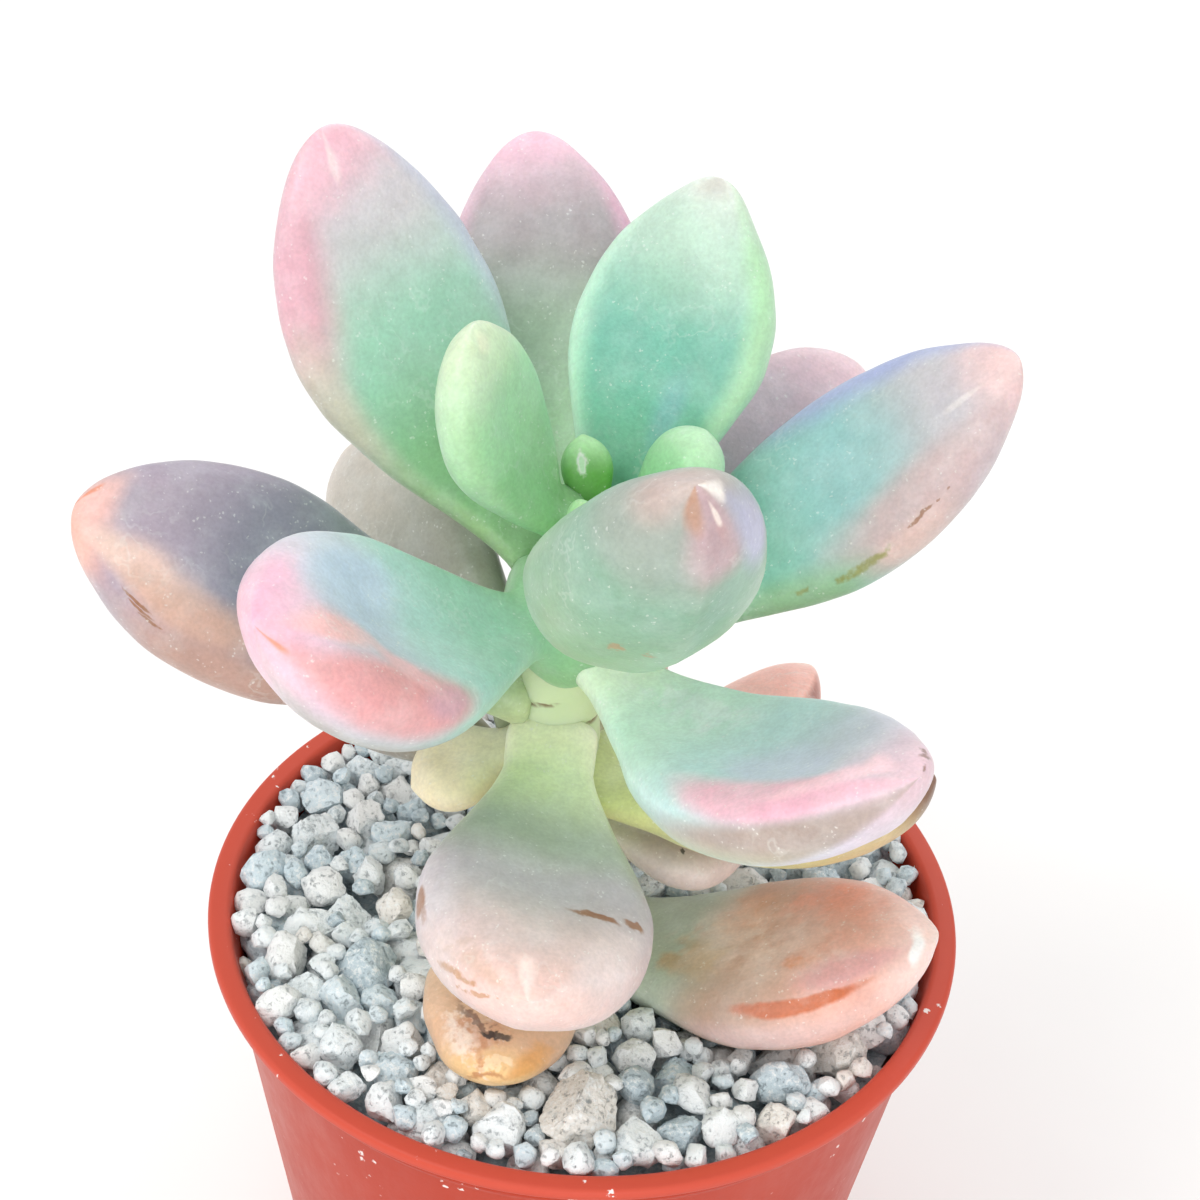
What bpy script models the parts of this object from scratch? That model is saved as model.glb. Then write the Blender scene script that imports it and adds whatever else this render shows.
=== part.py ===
"""Potted succulent: thick powdery leaves in a spiral on a short bare stem, in a round plastic nursery
pot dressed with pumice.

Run it with: blender --background --python part.py
Units are metres with +Z up. The origin is the centre of the pot's base, on the surface it stands on.
Azimuths are degrees about the stem from +X towards +Y, and heights on the stem are above the pot's rim.
"""

import math
from dataclasses import dataclass

import bmesh
import bpy
from mathutils import Matrix, Vector, noise

MM = 0.001

# Clearances
TOUCH_GAP = 0.3 * MM
STEM_GAP = 0.45 * MM

# Pot: a tapered shell with a flat flanged lip, and a base with a recessed drainage channel
POT_HEIGHT = 58.0 * MM
POT_FOOT_RADIUS = 22.5 * MM
POT_LIP_RADIUS = 32.5 * MM
POT_LIP_OVERHANG = 1.3 * MM
POT_WALL = 1.0 * MM
POT_LIP_THICKNESS = 1.2 * MM
POT_FLOOR_THICKNESS = 1.4 * MM
CHANNEL_DEPTH = 1.5 * MM
CHANNEL_INNER_RADIUS = 9.0 * MM
CHANNEL_OUTER_RADIUS = 19.0 * MM
EDGE_ROUNDING = 0.35 * MM
POT_SEGMENTS = 48
DRAIN_HOLE_RADIUS = 2.4 * MM
DRAIN_HOLES = 5

# Potting mix, and the bed of fine pumice that dresses it
BED_DEPTH_BELOW_RIM = 3.9 * MM
BED_THICKNESS = 9.0 * MM
BED_BUMP = 0.5 * MM
BED_BUMP_PITCH = 4.5 * MM
BED_RINGS = 6
BED_SEGMENTS = 36

# Stem
STEM_BASE_RADIUS = 3.2 * MM
STEM_TOP_RADIUS = 1.9 * MM
STEM_TOP = 41.0 * MM
STEM_ROOTED_DEPTH = 16.0 * MM
STEM_LEAN_X = -3.4 * MM
STEM_TOP_X = -0.2 * MM
STEM_TOP_Y = 0.5 * MM
STEM_BEND_START = 22.0 * MM
STEM_BEND_LENGTH = 20.0 * MM
STEM_RINGS = 14
STEM_SIDES = 16

# Leaves
LEAF_SIDES = 12
LEAF_STATIONS = (0.0, 0.08, 0.18, 0.30, 0.43, 0.56, 0.68, 0.79, 0.88, 0.95, 0.985)
WIDEST_AT = 0.60
UPPER_SHARE = 0.42
BASE_THICKNESS_SHARE = 0.42


@dataclass(frozen=True)
class Leaf:
    """One fleshy leaf: where it springs from the stem, how it leans and curves, and its size in mm.

    rise is the leaf's angle above level at its base and curl what its length adds to it. sway turns the
    leaf sideways along its length, and roll twists it about its own midrib. neck is the base width as a
    share of the full width. point is 0 for a round end and 1 for a sharp one.
    """

    name: str
    height: float
    azimuth: float
    rise: float
    curl: float
    length: float
    width: float
    thickness: float
    sway: float
    roll: float
    neck: float
    point: float
    skin: str = "leaf_skin"


#    name                  height azim. rise curl  len. width thick sway roll  neck point
LEAVES = (
    Leaf("leaf_top_left",          32, 139.5,   34,   40,  41.6,    19,   6.6,   20,   18,   0.2,   0.5),
    Leaf("leaf_top_middle",      29.2,    97,   26,   27,    42,  18.4,   7.6,    8,   12,  0.18,  0.55),
    Leaf("leaf_top_right",         34,    75,   39,   28,  32.6,    17,   7.8,  -18,    0,  0.26,     1),
    Leaf("leaf_right_behind",      22,    48,   29,   -4,  37.6,    17,     8,    2,  -40,   0.2,  0.05),
    Leaf("leaf_right",           27.5,    21,   29,   22,    41,  17.2,   7.4,  -24,  -18,  0.34,   0.5),
    Leaf("leaf_front",           37.4,   -86,   26,   36,  40.5,  16.2,  11.5,   16,   -5,  0.35,  0.35),
    Leaf("leaf_inner_left",      39.5,   185,   45,   40,  20.5,  12.8,   5.4,    8,   28,  0.42,  0.45),
    Leaf("leaf_bud",               39,   112,   55,    6,   6.4,   4.1,   3.5,    2,    6,   0.6,  0.36),
    Leaf("leaf_bud_front",       40.3,   -50,   62,   10,   4.8,   3.3,   2.6,    0,    0,   0.7,   0.5),
    Leaf("leaf_bud_left",        40.4,  -122,   64,    8,     4,   2.6,   2.2,    0,    0,   0.7,   0.5),
    Leaf("leaf_inner_right",     39.4,    31,   35,   26,   9.3,   6.8,   5.2,    0,    2,  0.52,  0.15),
    Leaf("leaf_left",            23.4,   186,   25,    4,    39,    18,     9,    0,   32,  0.33,  0.35),
    Leaf("leaf_left_behind",     21.6,   126,    7,  -10,    35,  13.6,   8.1,   -3,   60,   0.2,  0.02),
    Leaf("leaf_front_left",        32,  -136,   12,   24,  31.4,  18.6,   9.4,   -2,   20,  0.28,  0.05),
    Leaf("leaf_front_right",     29.8,   -56, -8.5,   53,  38.5,  17.6,   7.9,   15,   -5,   0.3,  0.58),
    Leaf("leaf_hanging",         20.6,   -92,  -22,   45,  30.4,  18.6,   9.8,    4,   13,  0.36,  0.37),
    Leaf("leaf_low_right",       -1.2,   -30,    7,   29,  33.4,  18.7,   8.7,   17,    0,  0.53,  0.75),
    Leaf("leaf_withered_front",   3.8,  -104,   -5,   -2,  20.2,  12.7,     6,   16,    6,  0.45,  0.14, "withered_leaf"),
    Leaf("leaf_withered_left",   18.5,   198,  -22,    0,   9.5,     9,   4.5,    0,    0,   0.4,   0.2, "withered_leaf"),
    Leaf("leaf_under_right",     16.2,   -21,   -8,   42,  29.8,  15.4,     7,   16,   15,  0.57,  0.42),
    Leaf("leaf_red_behind",         6,    42,  -12,   34,    30,  12.2,   7.9,   10,   19,  0.45,  0.57),
    Leaf("leaf_short_right",     10.5,    -9,   -8,    0,  13.5,    10,     5,    0,    0,   0.4,   0.3),
    Leaf("leaf_back",              25,    88,    2,   22,    26,    13,   7.5,    0,    0,   0.2,   0.4),
    Leaf("leaf_low_left",          13,   152,    5,    8,    23,    11,     6,    0,    0,   0.3,   0.4),
    Leaf("leaf_low_back",          14,    80,  -15,   12,    24,    13,     7,    0,    0,   0.3,   0.4),
)


@dataclass(frozen=True)
class Stone:
    """One larger pumice stone lying on the bed: its place about the pot's axis and its size in mm."""

    azimuth: float
    reach: float
    radius: float
    squash: float


STONES = (
    Stone(-88, 24.0, 3.2, 0.85),
    Stone(-66, 20.5, 2.1, 0.80),
    Stone(-70, 26.2, 2.0, 0.85),
    Stone(-125, 25.2, 2.2, 0.80),
    Stone(-152, 25.6, 2.0, 0.85),
    Stone(-172, 20.4, 2.2, 0.80),
    Stone(165, 25.6, 2.6, 0.80),
    Stone(143, 26.2, 2.2, 0.85),
    Stone(118, 24.0, 2.5, 0.80),
    Stone(88, 25.6, 2.3, 0.85),
    Stone(62, 23.5, 2.4, 0.80),
    Stone(33, 25.4, 2.2, 0.85),
    Stone(8, 25.2, 2.4, 0.80),
)
STONE_ROUGHNESS = 0.16


@dataclass(frozen=True)
class Finish:
    """A plain surface colour for one kind of material."""

    colour: tuple
    roughness: float
    metallic: float = 0.0


FINISHES = {
    "pot_plastic": Finish((0.52, 0.11, 0.07), 0.42),
    "potting_mix": Finish((0.06, 0.045, 0.035), 0.95),
    "pumice": Finish((0.62, 0.65, 0.64), 0.90),
    "stem_skin": Finish((0.50, 0.56, 0.26), 0.55),
    "leaf_skin": Finish((0.45, 0.60, 0.47), 0.50),
    "withered_leaf": Finish((0.68, 0.50, 0.27), 0.70),
}


def clear_scene():
    """Remove every object of the scene this runs in."""
    for item in list(bpy.data.objects):
        bpy.data.objects.remove(item, do_unlink=True)


def new_collection(name):
    """Return a new collection linked to the scene."""
    group = bpy.data.collections.new(name)
    bpy.context.scene.collection.children.link(group)
    return group


def make_materials():
    """Return one Principled material for each finish, by name."""
    made = {}
    for name, finish in FINISHES.items():
        material = bpy.data.materials.new(name)
        material.use_nodes = True
        surface = material.node_tree.nodes["Principled BSDF"]
        surface.inputs["Base Color"].default_value = (*finish.colour, 1.0)
        surface.inputs["Roughness"].default_value = finish.roughness
        surface.inputs["Metallic"].default_value = finish.metallic
        made[name] = material
    return made


def smoothstep(value):
    """Ease a share from 0 to 1, level at both ends."""
    value = min(1.0, max(0.0, value))
    return value * value * (3.0 - 2.0 * value)


def object_from_bmesh(shape, name, material, group):
    """Turn a closed bmesh into a smooth-shaded object with one material."""
    bmesh.ops.recalc_face_normals(shape, faces=shape.faces)
    mesh = bpy.data.meshes.new(name)
    shape.to_mesh(mesh)
    shape.free()
    mesh.materials.append(material)
    mesh.shade_smooth()
    item = bpy.data.objects.new(name, mesh)
    group.objects.link(item)
    return item


def loft(rings, tip=None):
    """Skin closed rings of equal count, capping the first ring and ending at a tip or a second cap."""
    shape = bmesh.new()
    loops = [[shape.verts.new(point) for point in ring] for ring in rings]
    count = len(loops[0])
    for lower, upper in zip(loops, loops[1:]):
        for k in range(count):
            after = (k + 1) % count
            shape.faces.new((lower[k], lower[after], upper[after], upper[k]))
    shape.faces.new(list(reversed(loops[0])))
    if tip is None:
        shape.faces.new(loops[-1])
    else:
        pole = shape.verts.new(tip)
        for k in range(count):
            shape.faces.new((loops[-1][k], loops[-1][(k + 1) % count], pole))
    return shape


def circle(centre, radius, sides):
    """Return a level circle of points."""
    turns = [math.tau * k / sides for k in range(sides)]
    return [centre + Vector((radius * math.cos(t), radius * math.sin(t), 0.0)) for t in turns]


def turned(name, profile, material, group, steps=POT_SEGMENTS):
    """Spin a profile of (radius, height) pairs that starts and ends on the axis into a solid."""
    mesh = bpy.data.meshes.new(name)
    points = [(radius, 0.0, height) for radius, height in profile]
    mesh.from_pydata(points, [(k, k + 1) for k in range(len(points) - 1)], [])
    mesh.materials.append(material)
    item = bpy.data.objects.new(name, mesh)
    group.objects.link(item)
    spin = item.modifiers.new("spin", "SCREW")
    spin.angle = math.tau
    spin.steps = steps
    spin.render_steps = steps
    spin.use_merge_vertices = True
    spin.merge_threshold = 0.01 * MM
    spin.use_smooth_shade = True
    return item


def cutter_cylinder(name, radius, low, high, place, group, sides=24):
    """Return an upright cylinder that only cuts other pieces."""
    shape = bmesh.new()
    middle = Matrix.Translation((place[0], place[1], (low + high) / 2))
    bmesh.ops.create_cone(shape, cap_ends=True, segments=sides, radius1=radius, radius2=radius,
                          depth=high - low, matrix=middle)
    mesh = bpy.data.meshes.new(name)
    shape.to_mesh(mesh)
    shape.free()
    item = bpy.data.objects.new(name, mesh)
    item.display_type = "WIRE"
    item.hide_render = True
    group.objects.link(item)
    return item


def cut(item, cutter):
    """Cut one object by another."""
    step = item.modifiers.new(cutter.name, "BOOLEAN")
    step.operation = "DIFFERENCE"
    step.object = cutter


def pot_floor_top():
    """Return the height of the pot's inner floor."""
    return CHANNEL_DEPTH + POT_FLOOR_THICKNESS


def pot_outer_radius(height):
    """Return the radius of the pot's outer wall under the lip at a height."""
    top = POT_LIP_RADIUS - POT_LIP_OVERHANG
    return POT_FOOT_RADIUS + (top - POT_FOOT_RADIUS) * height / POT_HEIGHT


def pot_inner_radius(height):
    """Return the radius of the pot's inner wall at a height."""
    return pot_outer_radius(height) - POT_WALL


def make_pot(materials, parts, cutters):
    """Turn the pot, then cut the drain holes through its channel."""
    floor, rim = pot_floor_top(), POT_HEIGHT
    under_lip = rim - POT_LIP_THICKNESS
    edge = EDGE_ROUNDING
    profile = [
        (0.0, floor), (pot_inner_radius(floor), floor), (pot_inner_radius(rim - edge), rim - edge),
        (pot_inner_radius(rim) + edge, rim), (POT_LIP_RADIUS - edge, rim), (POT_LIP_RADIUS, rim - edge),
        (POT_LIP_RADIUS, under_lip + edge), (POT_LIP_RADIUS - edge, under_lip),
        (pot_outer_radius(under_lip), under_lip), (pot_outer_radius(edge), edge),
        (POT_FOOT_RADIUS - edge, 0.0), (CHANNEL_OUTER_RADIUS, 0.0), (CHANNEL_OUTER_RADIUS, CHANNEL_DEPTH),
        (CHANNEL_INNER_RADIUS, CHANNEL_DEPTH), (CHANNEL_INNER_RADIUS, 0.0), (0.0, 0.0),
    ]
    pot = turned("pot", profile, materials["pot_plastic"], parts)
    ring = (CHANNEL_INNER_RADIUS + CHANNEL_OUTER_RADIUS) / 2
    for k in range(DRAIN_HOLES):
        turn = math.tau * (k + 0.5) / DRAIN_HOLES
        place = (ring * math.cos(turn), ring * math.sin(turn))
        hole = cutter_cylinder(f"drain_hole_{k + 1}", DRAIN_HOLE_RADIUS, -1.0 * MM, floor + 1.0 * MM,
                               place, cutters)
        cut(pot, hole)


def bed_top():
    """Return the mean height of the pumice bed's surface."""
    return POT_HEIGHT - BED_DEPTH_BELOW_RIM


def stem_point(height):
    """Return a point of the stem's axis at a height above the rim."""
    bend = smoothstep((height - STEM_BEND_START) / STEM_BEND_LENGTH)
    x = STEM_LEAN_X + (STEM_TOP_X - STEM_LEAN_X) * bend
    return Vector((x, STEM_TOP_Y * bend, POT_HEIGHT + height))


def stem_radius(height):
    """Return the stem's radius at a height above the rim."""
    share = min(1.0, max(0.0, height / STEM_TOP))
    return STEM_BASE_RADIUS + (STEM_TOP_RADIUS - STEM_BASE_RADIUS) * share


def make_stem(materials, parts):
    """Loft the stem along its bent axis, from its root in the mix to the bud."""
    low = -STEM_ROOTED_DEPTH
    rings = []
    for k in range(STEM_RINGS):
        height = low + (STEM_TOP - low) * k / (STEM_RINGS - 1)
        rings.append(circle(stem_point(height), stem_radius(height), STEM_SIDES))
    object_from_bmesh(loft(rings), "stem", materials["stem_skin"], parts)


def make_mix(materials, parts, cutters):
    """Turn the plug of potting mix that fills the pot under the bed, with a socket for the stem."""
    low = pot_floor_top() + TOUCH_GAP
    high = bed_top() - BED_THICKNESS - TOUCH_GAP
    profile = [(0.0, high), (pot_inner_radius(high) - TOUCH_GAP, high),
               (pot_inner_radius(low) - TOUCH_GAP, low), (0.0, low)]
    mix = turned("potting_mix", profile, materials["potting_mix"], parts)
    foot = stem_point(-STEM_ROOTED_DEPTH)
    socket = cutter_cylinder("stem_socket", STEM_BASE_RADIUS + TOUCH_GAP, foot.z - TOUCH_GAP,
                             high + 1.0 * MM, (foot.x, foot.y), cutters)
    cut(mix, socket)


def bed_height(x, y):
    """Return the height of the bumpy pumice surface at a place."""
    bump = noise.noise(Vector((x, y, 0.0)) / BED_BUMP_PITCH)
    return bed_top() + BED_BUMP * max(-1.0, min(1.0, bump))


def make_bed(materials, parts):
    """Build the ring of fine pumice between the stem and the pot's wall, bumpy on top."""
    middle = stem_point(0.0)
    hole = STEM_BASE_RADIUS + STEM_GAP
    low = bed_top() - BED_THICKNESS
    shape = bmesh.new()
    layers = []
    for on_top in (True, False):
        rings = BED_RINGS if on_top else 1
        outer = pot_inner_radius(bed_top() if on_top else low) - TOUCH_GAP
        layer = []
        for j in range(rings + 1):
            share = j / rings
            ring = []
            for k in range(BED_SEGMENTS):
                turn = math.tau * k / BED_SEGMENTS
                inner = Vector((middle.x + hole * math.cos(turn), middle.y + hole * math.sin(turn)))
                edge = Vector((outer * math.cos(turn), outer * math.sin(turn)))
                x, y = inner.lerp(edge, share)
                ring.append(shape.verts.new((x, y, bed_height(x, y) if on_top else low)))
            layer.append(ring)
        layers.append(layer)
    top, bottom = layers
    loops = top + [bottom[1], bottom[0]]
    for inside, outside in zip(loops, loops[1:] + loops[:1]):
        for k in range(BED_SEGMENTS):
            after = (k + 1) % BED_SEGMENTS
            shape.faces.new((inside[k], inside[after], outside[after], outside[k]))
    object_from_bmesh(shape, "pumice_bed", materials["pumice"], parts)


def width_share(leaf, along):
    """Return a leaf's width at a share of its length, as a share of its full width."""
    if along < WIDEST_AT:
        swell = smoothstep((along - 0.03) / (WIDEST_AT - 0.03))
        return leaf.neck * (0.86 + 0.14 * smoothstep(along / 0.1)) + (1.0 - leaf.neck) * swell
    past = (along - WIDEST_AT) / (1.0 - WIDEST_AT)
    return (1.0 - past ** 2.2) ** (0.5 + 0.4 * leaf.point)


def thickness_share(along):
    """Return a leaf's thickness at a share of its length, as a share of its full thickness."""
    if along < WIDEST_AT:
        swell = smoothstep((along - 0.02) / (WIDEST_AT - 0.02))
        return BASE_THICKNESS_SHARE + (1.0 - BASE_THICKNESS_SHARE) * swell
    past = (along - WIDEST_AT) / (1.0 - WIDEST_AT)
    return (1.0 - past ** 2.5) ** 0.6


def leaf_direction(leaf, along):
    """Return the rise and the azimuth of a leaf's midrib at a share of its length, in radians."""
    return (math.radians(leaf.rise + leaf.curl * along),
            math.radians(leaf.azimuth + leaf.sway * along))


def leaf_midrib(leaf, steps=60):
    """Return evenly spaced points of a leaf's midrib, starting just clear of the stem."""
    facing = math.radians(leaf.azimuth)
    reach = stem_radius(leaf.height * MM) + STEM_GAP
    point = stem_point(leaf.height * MM) + reach * Vector((math.cos(facing), math.sin(facing), 0.0))
    points = [point]
    for k in range(steps):
        rise, turn = leaf_direction(leaf, (k + 0.5) / steps)
        ahead = Vector((math.cos(rise) * math.cos(turn), math.cos(rise) * math.sin(turn), math.sin(rise)))
        point = point + ahead * (leaf.length * MM / steps)
        points.append(point)
    return points


def stem_slope(leaf):
    """Return the rise that faces squarely out of the leaning stem where a leaf springs from it."""
    facing = math.radians(leaf.azimuth)
    run = stem_point(leaf.height * MM + MM) - stem_point(leaf.height * MM - MM)
    return -math.atan((run.x * math.cos(facing) + run.y * math.sin(facing)) / run.z)


def leaf_ring(leaf, centre, along):
    """Return one cross-section of a leaf: an ellipse that is flatter on its upper side."""
    rise, turn = leaf_direction(leaf, along)
    square = stem_slope(leaf)
    rise = square + (rise - square) * smoothstep(along / 0.22)
    ahead = Vector((math.cos(rise) * math.cos(turn), math.cos(rise) * math.sin(turn), math.sin(rise)))
    side = Vector((math.sin(turn), -math.cos(turn), 0.0))
    up = side.cross(ahead)
    twist = Matrix.Rotation(-math.radians(leaf.roll) * smoothstep(along / 0.3), 3, ahead)
    side, up = twist @ side, twist @ up
    half_width = leaf.width * MM / 2 * width_share(leaf, along)
    thickness = leaf.thickness * MM * thickness_share(along)
    ring = []
    for k in range(LEAF_SIDES):
        angle = math.tau * k / LEAF_SIDES
        share = UPPER_SHARE if math.sin(angle) > 0 else 1.0 - UPPER_SHARE
        ring.append(centre + side * (half_width * math.cos(angle)) + up * (share * thickness * math.sin(angle)))
    return ring


def make_leaf(leaf, materials, parts):
    """Loft one leaf along its midrib, flat where it meets the stem and ending in a point."""
    midrib = leaf_midrib(leaf)
    last = len(midrib) - 1
    rings = []
    for along in LEAF_STATIONS:
        place = along * last
        k = min(last - 1, int(place))
        rings.append(leaf_ring(leaf, midrib[k].lerp(midrib[k + 1], place - k), along))
    object_from_bmesh(loft(rings, midrib[-1]), leaf.name, materials[leaf.skin], parts)


def make_stone(number, stone, materials, parts):
    """Make one rough pumice stone that rests on the highest bumps of the bed."""
    shape = bmesh.new()
    bmesh.ops.create_icosphere(shape, subdivisions=2, radius=stone.radius * MM)
    for vert in shape.verts:
        lump = noise.noise(vert.co / (stone.radius * MM) + Vector((7.0 * number, 0.0, 0.0)))
        vert.co *= 1.0 + STONE_ROUGHNESS * lump
        vert.co.z *= stone.squash
    turn = math.radians(stone.azimuth)
    bottom = bed_top() + BED_BUMP + TOUCH_GAP - min(vert.co.z for vert in shape.verts)
    place = Vector((stone.reach * MM * math.cos(turn), stone.reach * MM * math.sin(turn), bottom))
    bmesh.ops.translate(shape, verts=shape.verts, vec=place)
    object_from_bmesh(shape, f"pumice_stone_{number:02d}", materials["pumice"], parts)


def main():
    """Build the whole plant in its pot."""
    clear_scene()
    parts = new_collection("potted_succulent")
    cutters = new_collection("cutters")
    materials = make_materials()
    make_pot(materials, parts, cutters)
    make_mix(materials, parts, cutters)
    make_bed(materials, parts)
    make_stem(materials, parts)
    for leaf in LEAVES:
        make_leaf(leaf, materials, parts)
    for number, stone in enumerate(STONES, start=1):
        make_stone(number, stone, materials, parts)


main()
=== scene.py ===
"""Potted succulent: the finished look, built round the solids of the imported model.

Thick powdery leaves spring in a spiral from a short bare stem, which stands in a round plastic nursery
pot dressed with pumice. Units are metres, +Z is up and the origin is the centre of the pot's base.
"""

import logging
import math
import random
from dataclasses import dataclass, field
from enum import Enum
from typing import Any, Iterable, Sequence, Union

import bmesh
import bpy
import numpy as np
from mathutils import Matrix, Vector, noise
from mathutils.bvhtree import BVHTree


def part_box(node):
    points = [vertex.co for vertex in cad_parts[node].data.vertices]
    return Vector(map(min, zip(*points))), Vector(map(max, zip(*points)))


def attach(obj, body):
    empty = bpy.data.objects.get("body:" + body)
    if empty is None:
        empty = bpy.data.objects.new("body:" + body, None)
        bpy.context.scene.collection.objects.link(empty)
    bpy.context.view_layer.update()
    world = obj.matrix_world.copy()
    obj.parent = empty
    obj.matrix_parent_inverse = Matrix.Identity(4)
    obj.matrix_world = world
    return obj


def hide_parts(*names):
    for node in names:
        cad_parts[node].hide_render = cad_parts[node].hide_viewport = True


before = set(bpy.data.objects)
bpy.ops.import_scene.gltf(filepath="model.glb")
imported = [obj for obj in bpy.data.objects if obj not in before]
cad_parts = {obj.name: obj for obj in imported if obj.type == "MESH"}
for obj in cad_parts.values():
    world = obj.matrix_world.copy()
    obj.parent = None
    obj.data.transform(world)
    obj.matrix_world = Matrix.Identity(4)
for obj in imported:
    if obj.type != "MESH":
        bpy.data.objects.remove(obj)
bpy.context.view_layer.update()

LOG = logging.getLogger("potted_succulent")
MM = 0.001
MOST_GRAINS = 4000
GRAINS_IN_BED = 0.5 * MM
GRAINS_TO_WALL = 0.1 * MM
Colour = tuple[float, float, float]


class Slot(Enum):
    """Names of the kinds of material in the plant and its pot; each leaf carries one as a tag."""

    LEAF = "leaf_skin"
    WITHERED = "withered_leaf"
    STEM = "stem_skin"
    PUMICE = "pumice"
    POT = "pot_plastic"


def tone(red: int, green: int, blue: int) -> Colour:
    """Turn a display colour into the linear one that shaders use.

    Args:
        red: Red, 0 to 255.
        green: Green, 0 to 255.
        blue: Blue, 0 to 255.

    Returns:
        The linear colour, each channel 0 to 1.
    """
    return tuple(((c / 255 + 0.055) / 1.055) ** 2.4 if c > 10 else c / 3294.6 for c in (red, green, blue))


def ease(value: float) -> float:
    """Ease a share from 0 to 1, level at both ends."""
    value = min(1.0, max(0.0, value))
    return value * value * (3.0 - 2.0 * value)


def rgba(colour: Colour) -> tuple[float, float, float, float]:
    """Return a colour with full opacity."""
    return (*colour, 1.0)


# ----------------------------------------------------------------------------- shader building


class Sock:
    """A shader socket that numbers and other sockets can be added to, multiplied by and so on."""

    def __init__(self, sheet: "Sheet", socket: bpy.types.NodeSocket) -> None:
        """Wrap a socket of a sheet of nodes."""
        self.sheet = sheet
        self.socket = socket

    def _maths(self, operation: str, first: Any, second: Any = None) -> "Sock":
        """Add one Math node and return its result."""
        values = {0: first}
        if second is not None:
            values[1] = second
        return self.sheet.node("ShaderNodeMath", {"operation": operation}, values)

    def __add__(self, other: Any) -> "Sock":
        """Return this plus other."""
        return self._maths("ADD", self, other)

    __radd__ = __add__

    def __sub__(self, other: Any) -> "Sock":
        """Return this minus other."""
        return self._maths("SUBTRACT", self, other)

    def __mul__(self, other: Any) -> "Sock":
        """Return this times other."""
        return self._maths("MULTIPLY", self, other)

    def __abs__(self) -> "Sock":
        """Return this without its sign."""
        return self._maths("ABSOLUTE", self)

    def clamped(self) -> "Sock":
        """Return this held between 0 and 1."""
        return self._maths("MAXIMUM", self._maths("MINIMUM", self, 1.0), 0.0)

    def ramped(self, low: float, high: float, start: float = 0.0, end: float = 1.0) -> "Sock":
        """Ease this from start at low to end at high, held flat outside."""
        return self.sheet.node("ShaderNodeMapRange", {"interpolation_type": "SMOOTHSTEP"},
                               {0: self, 1: low, 2: high, 3: start, 4: end})


Value = Union[Sock, float, int]
Paint = Union[Sock, Colour]


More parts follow.
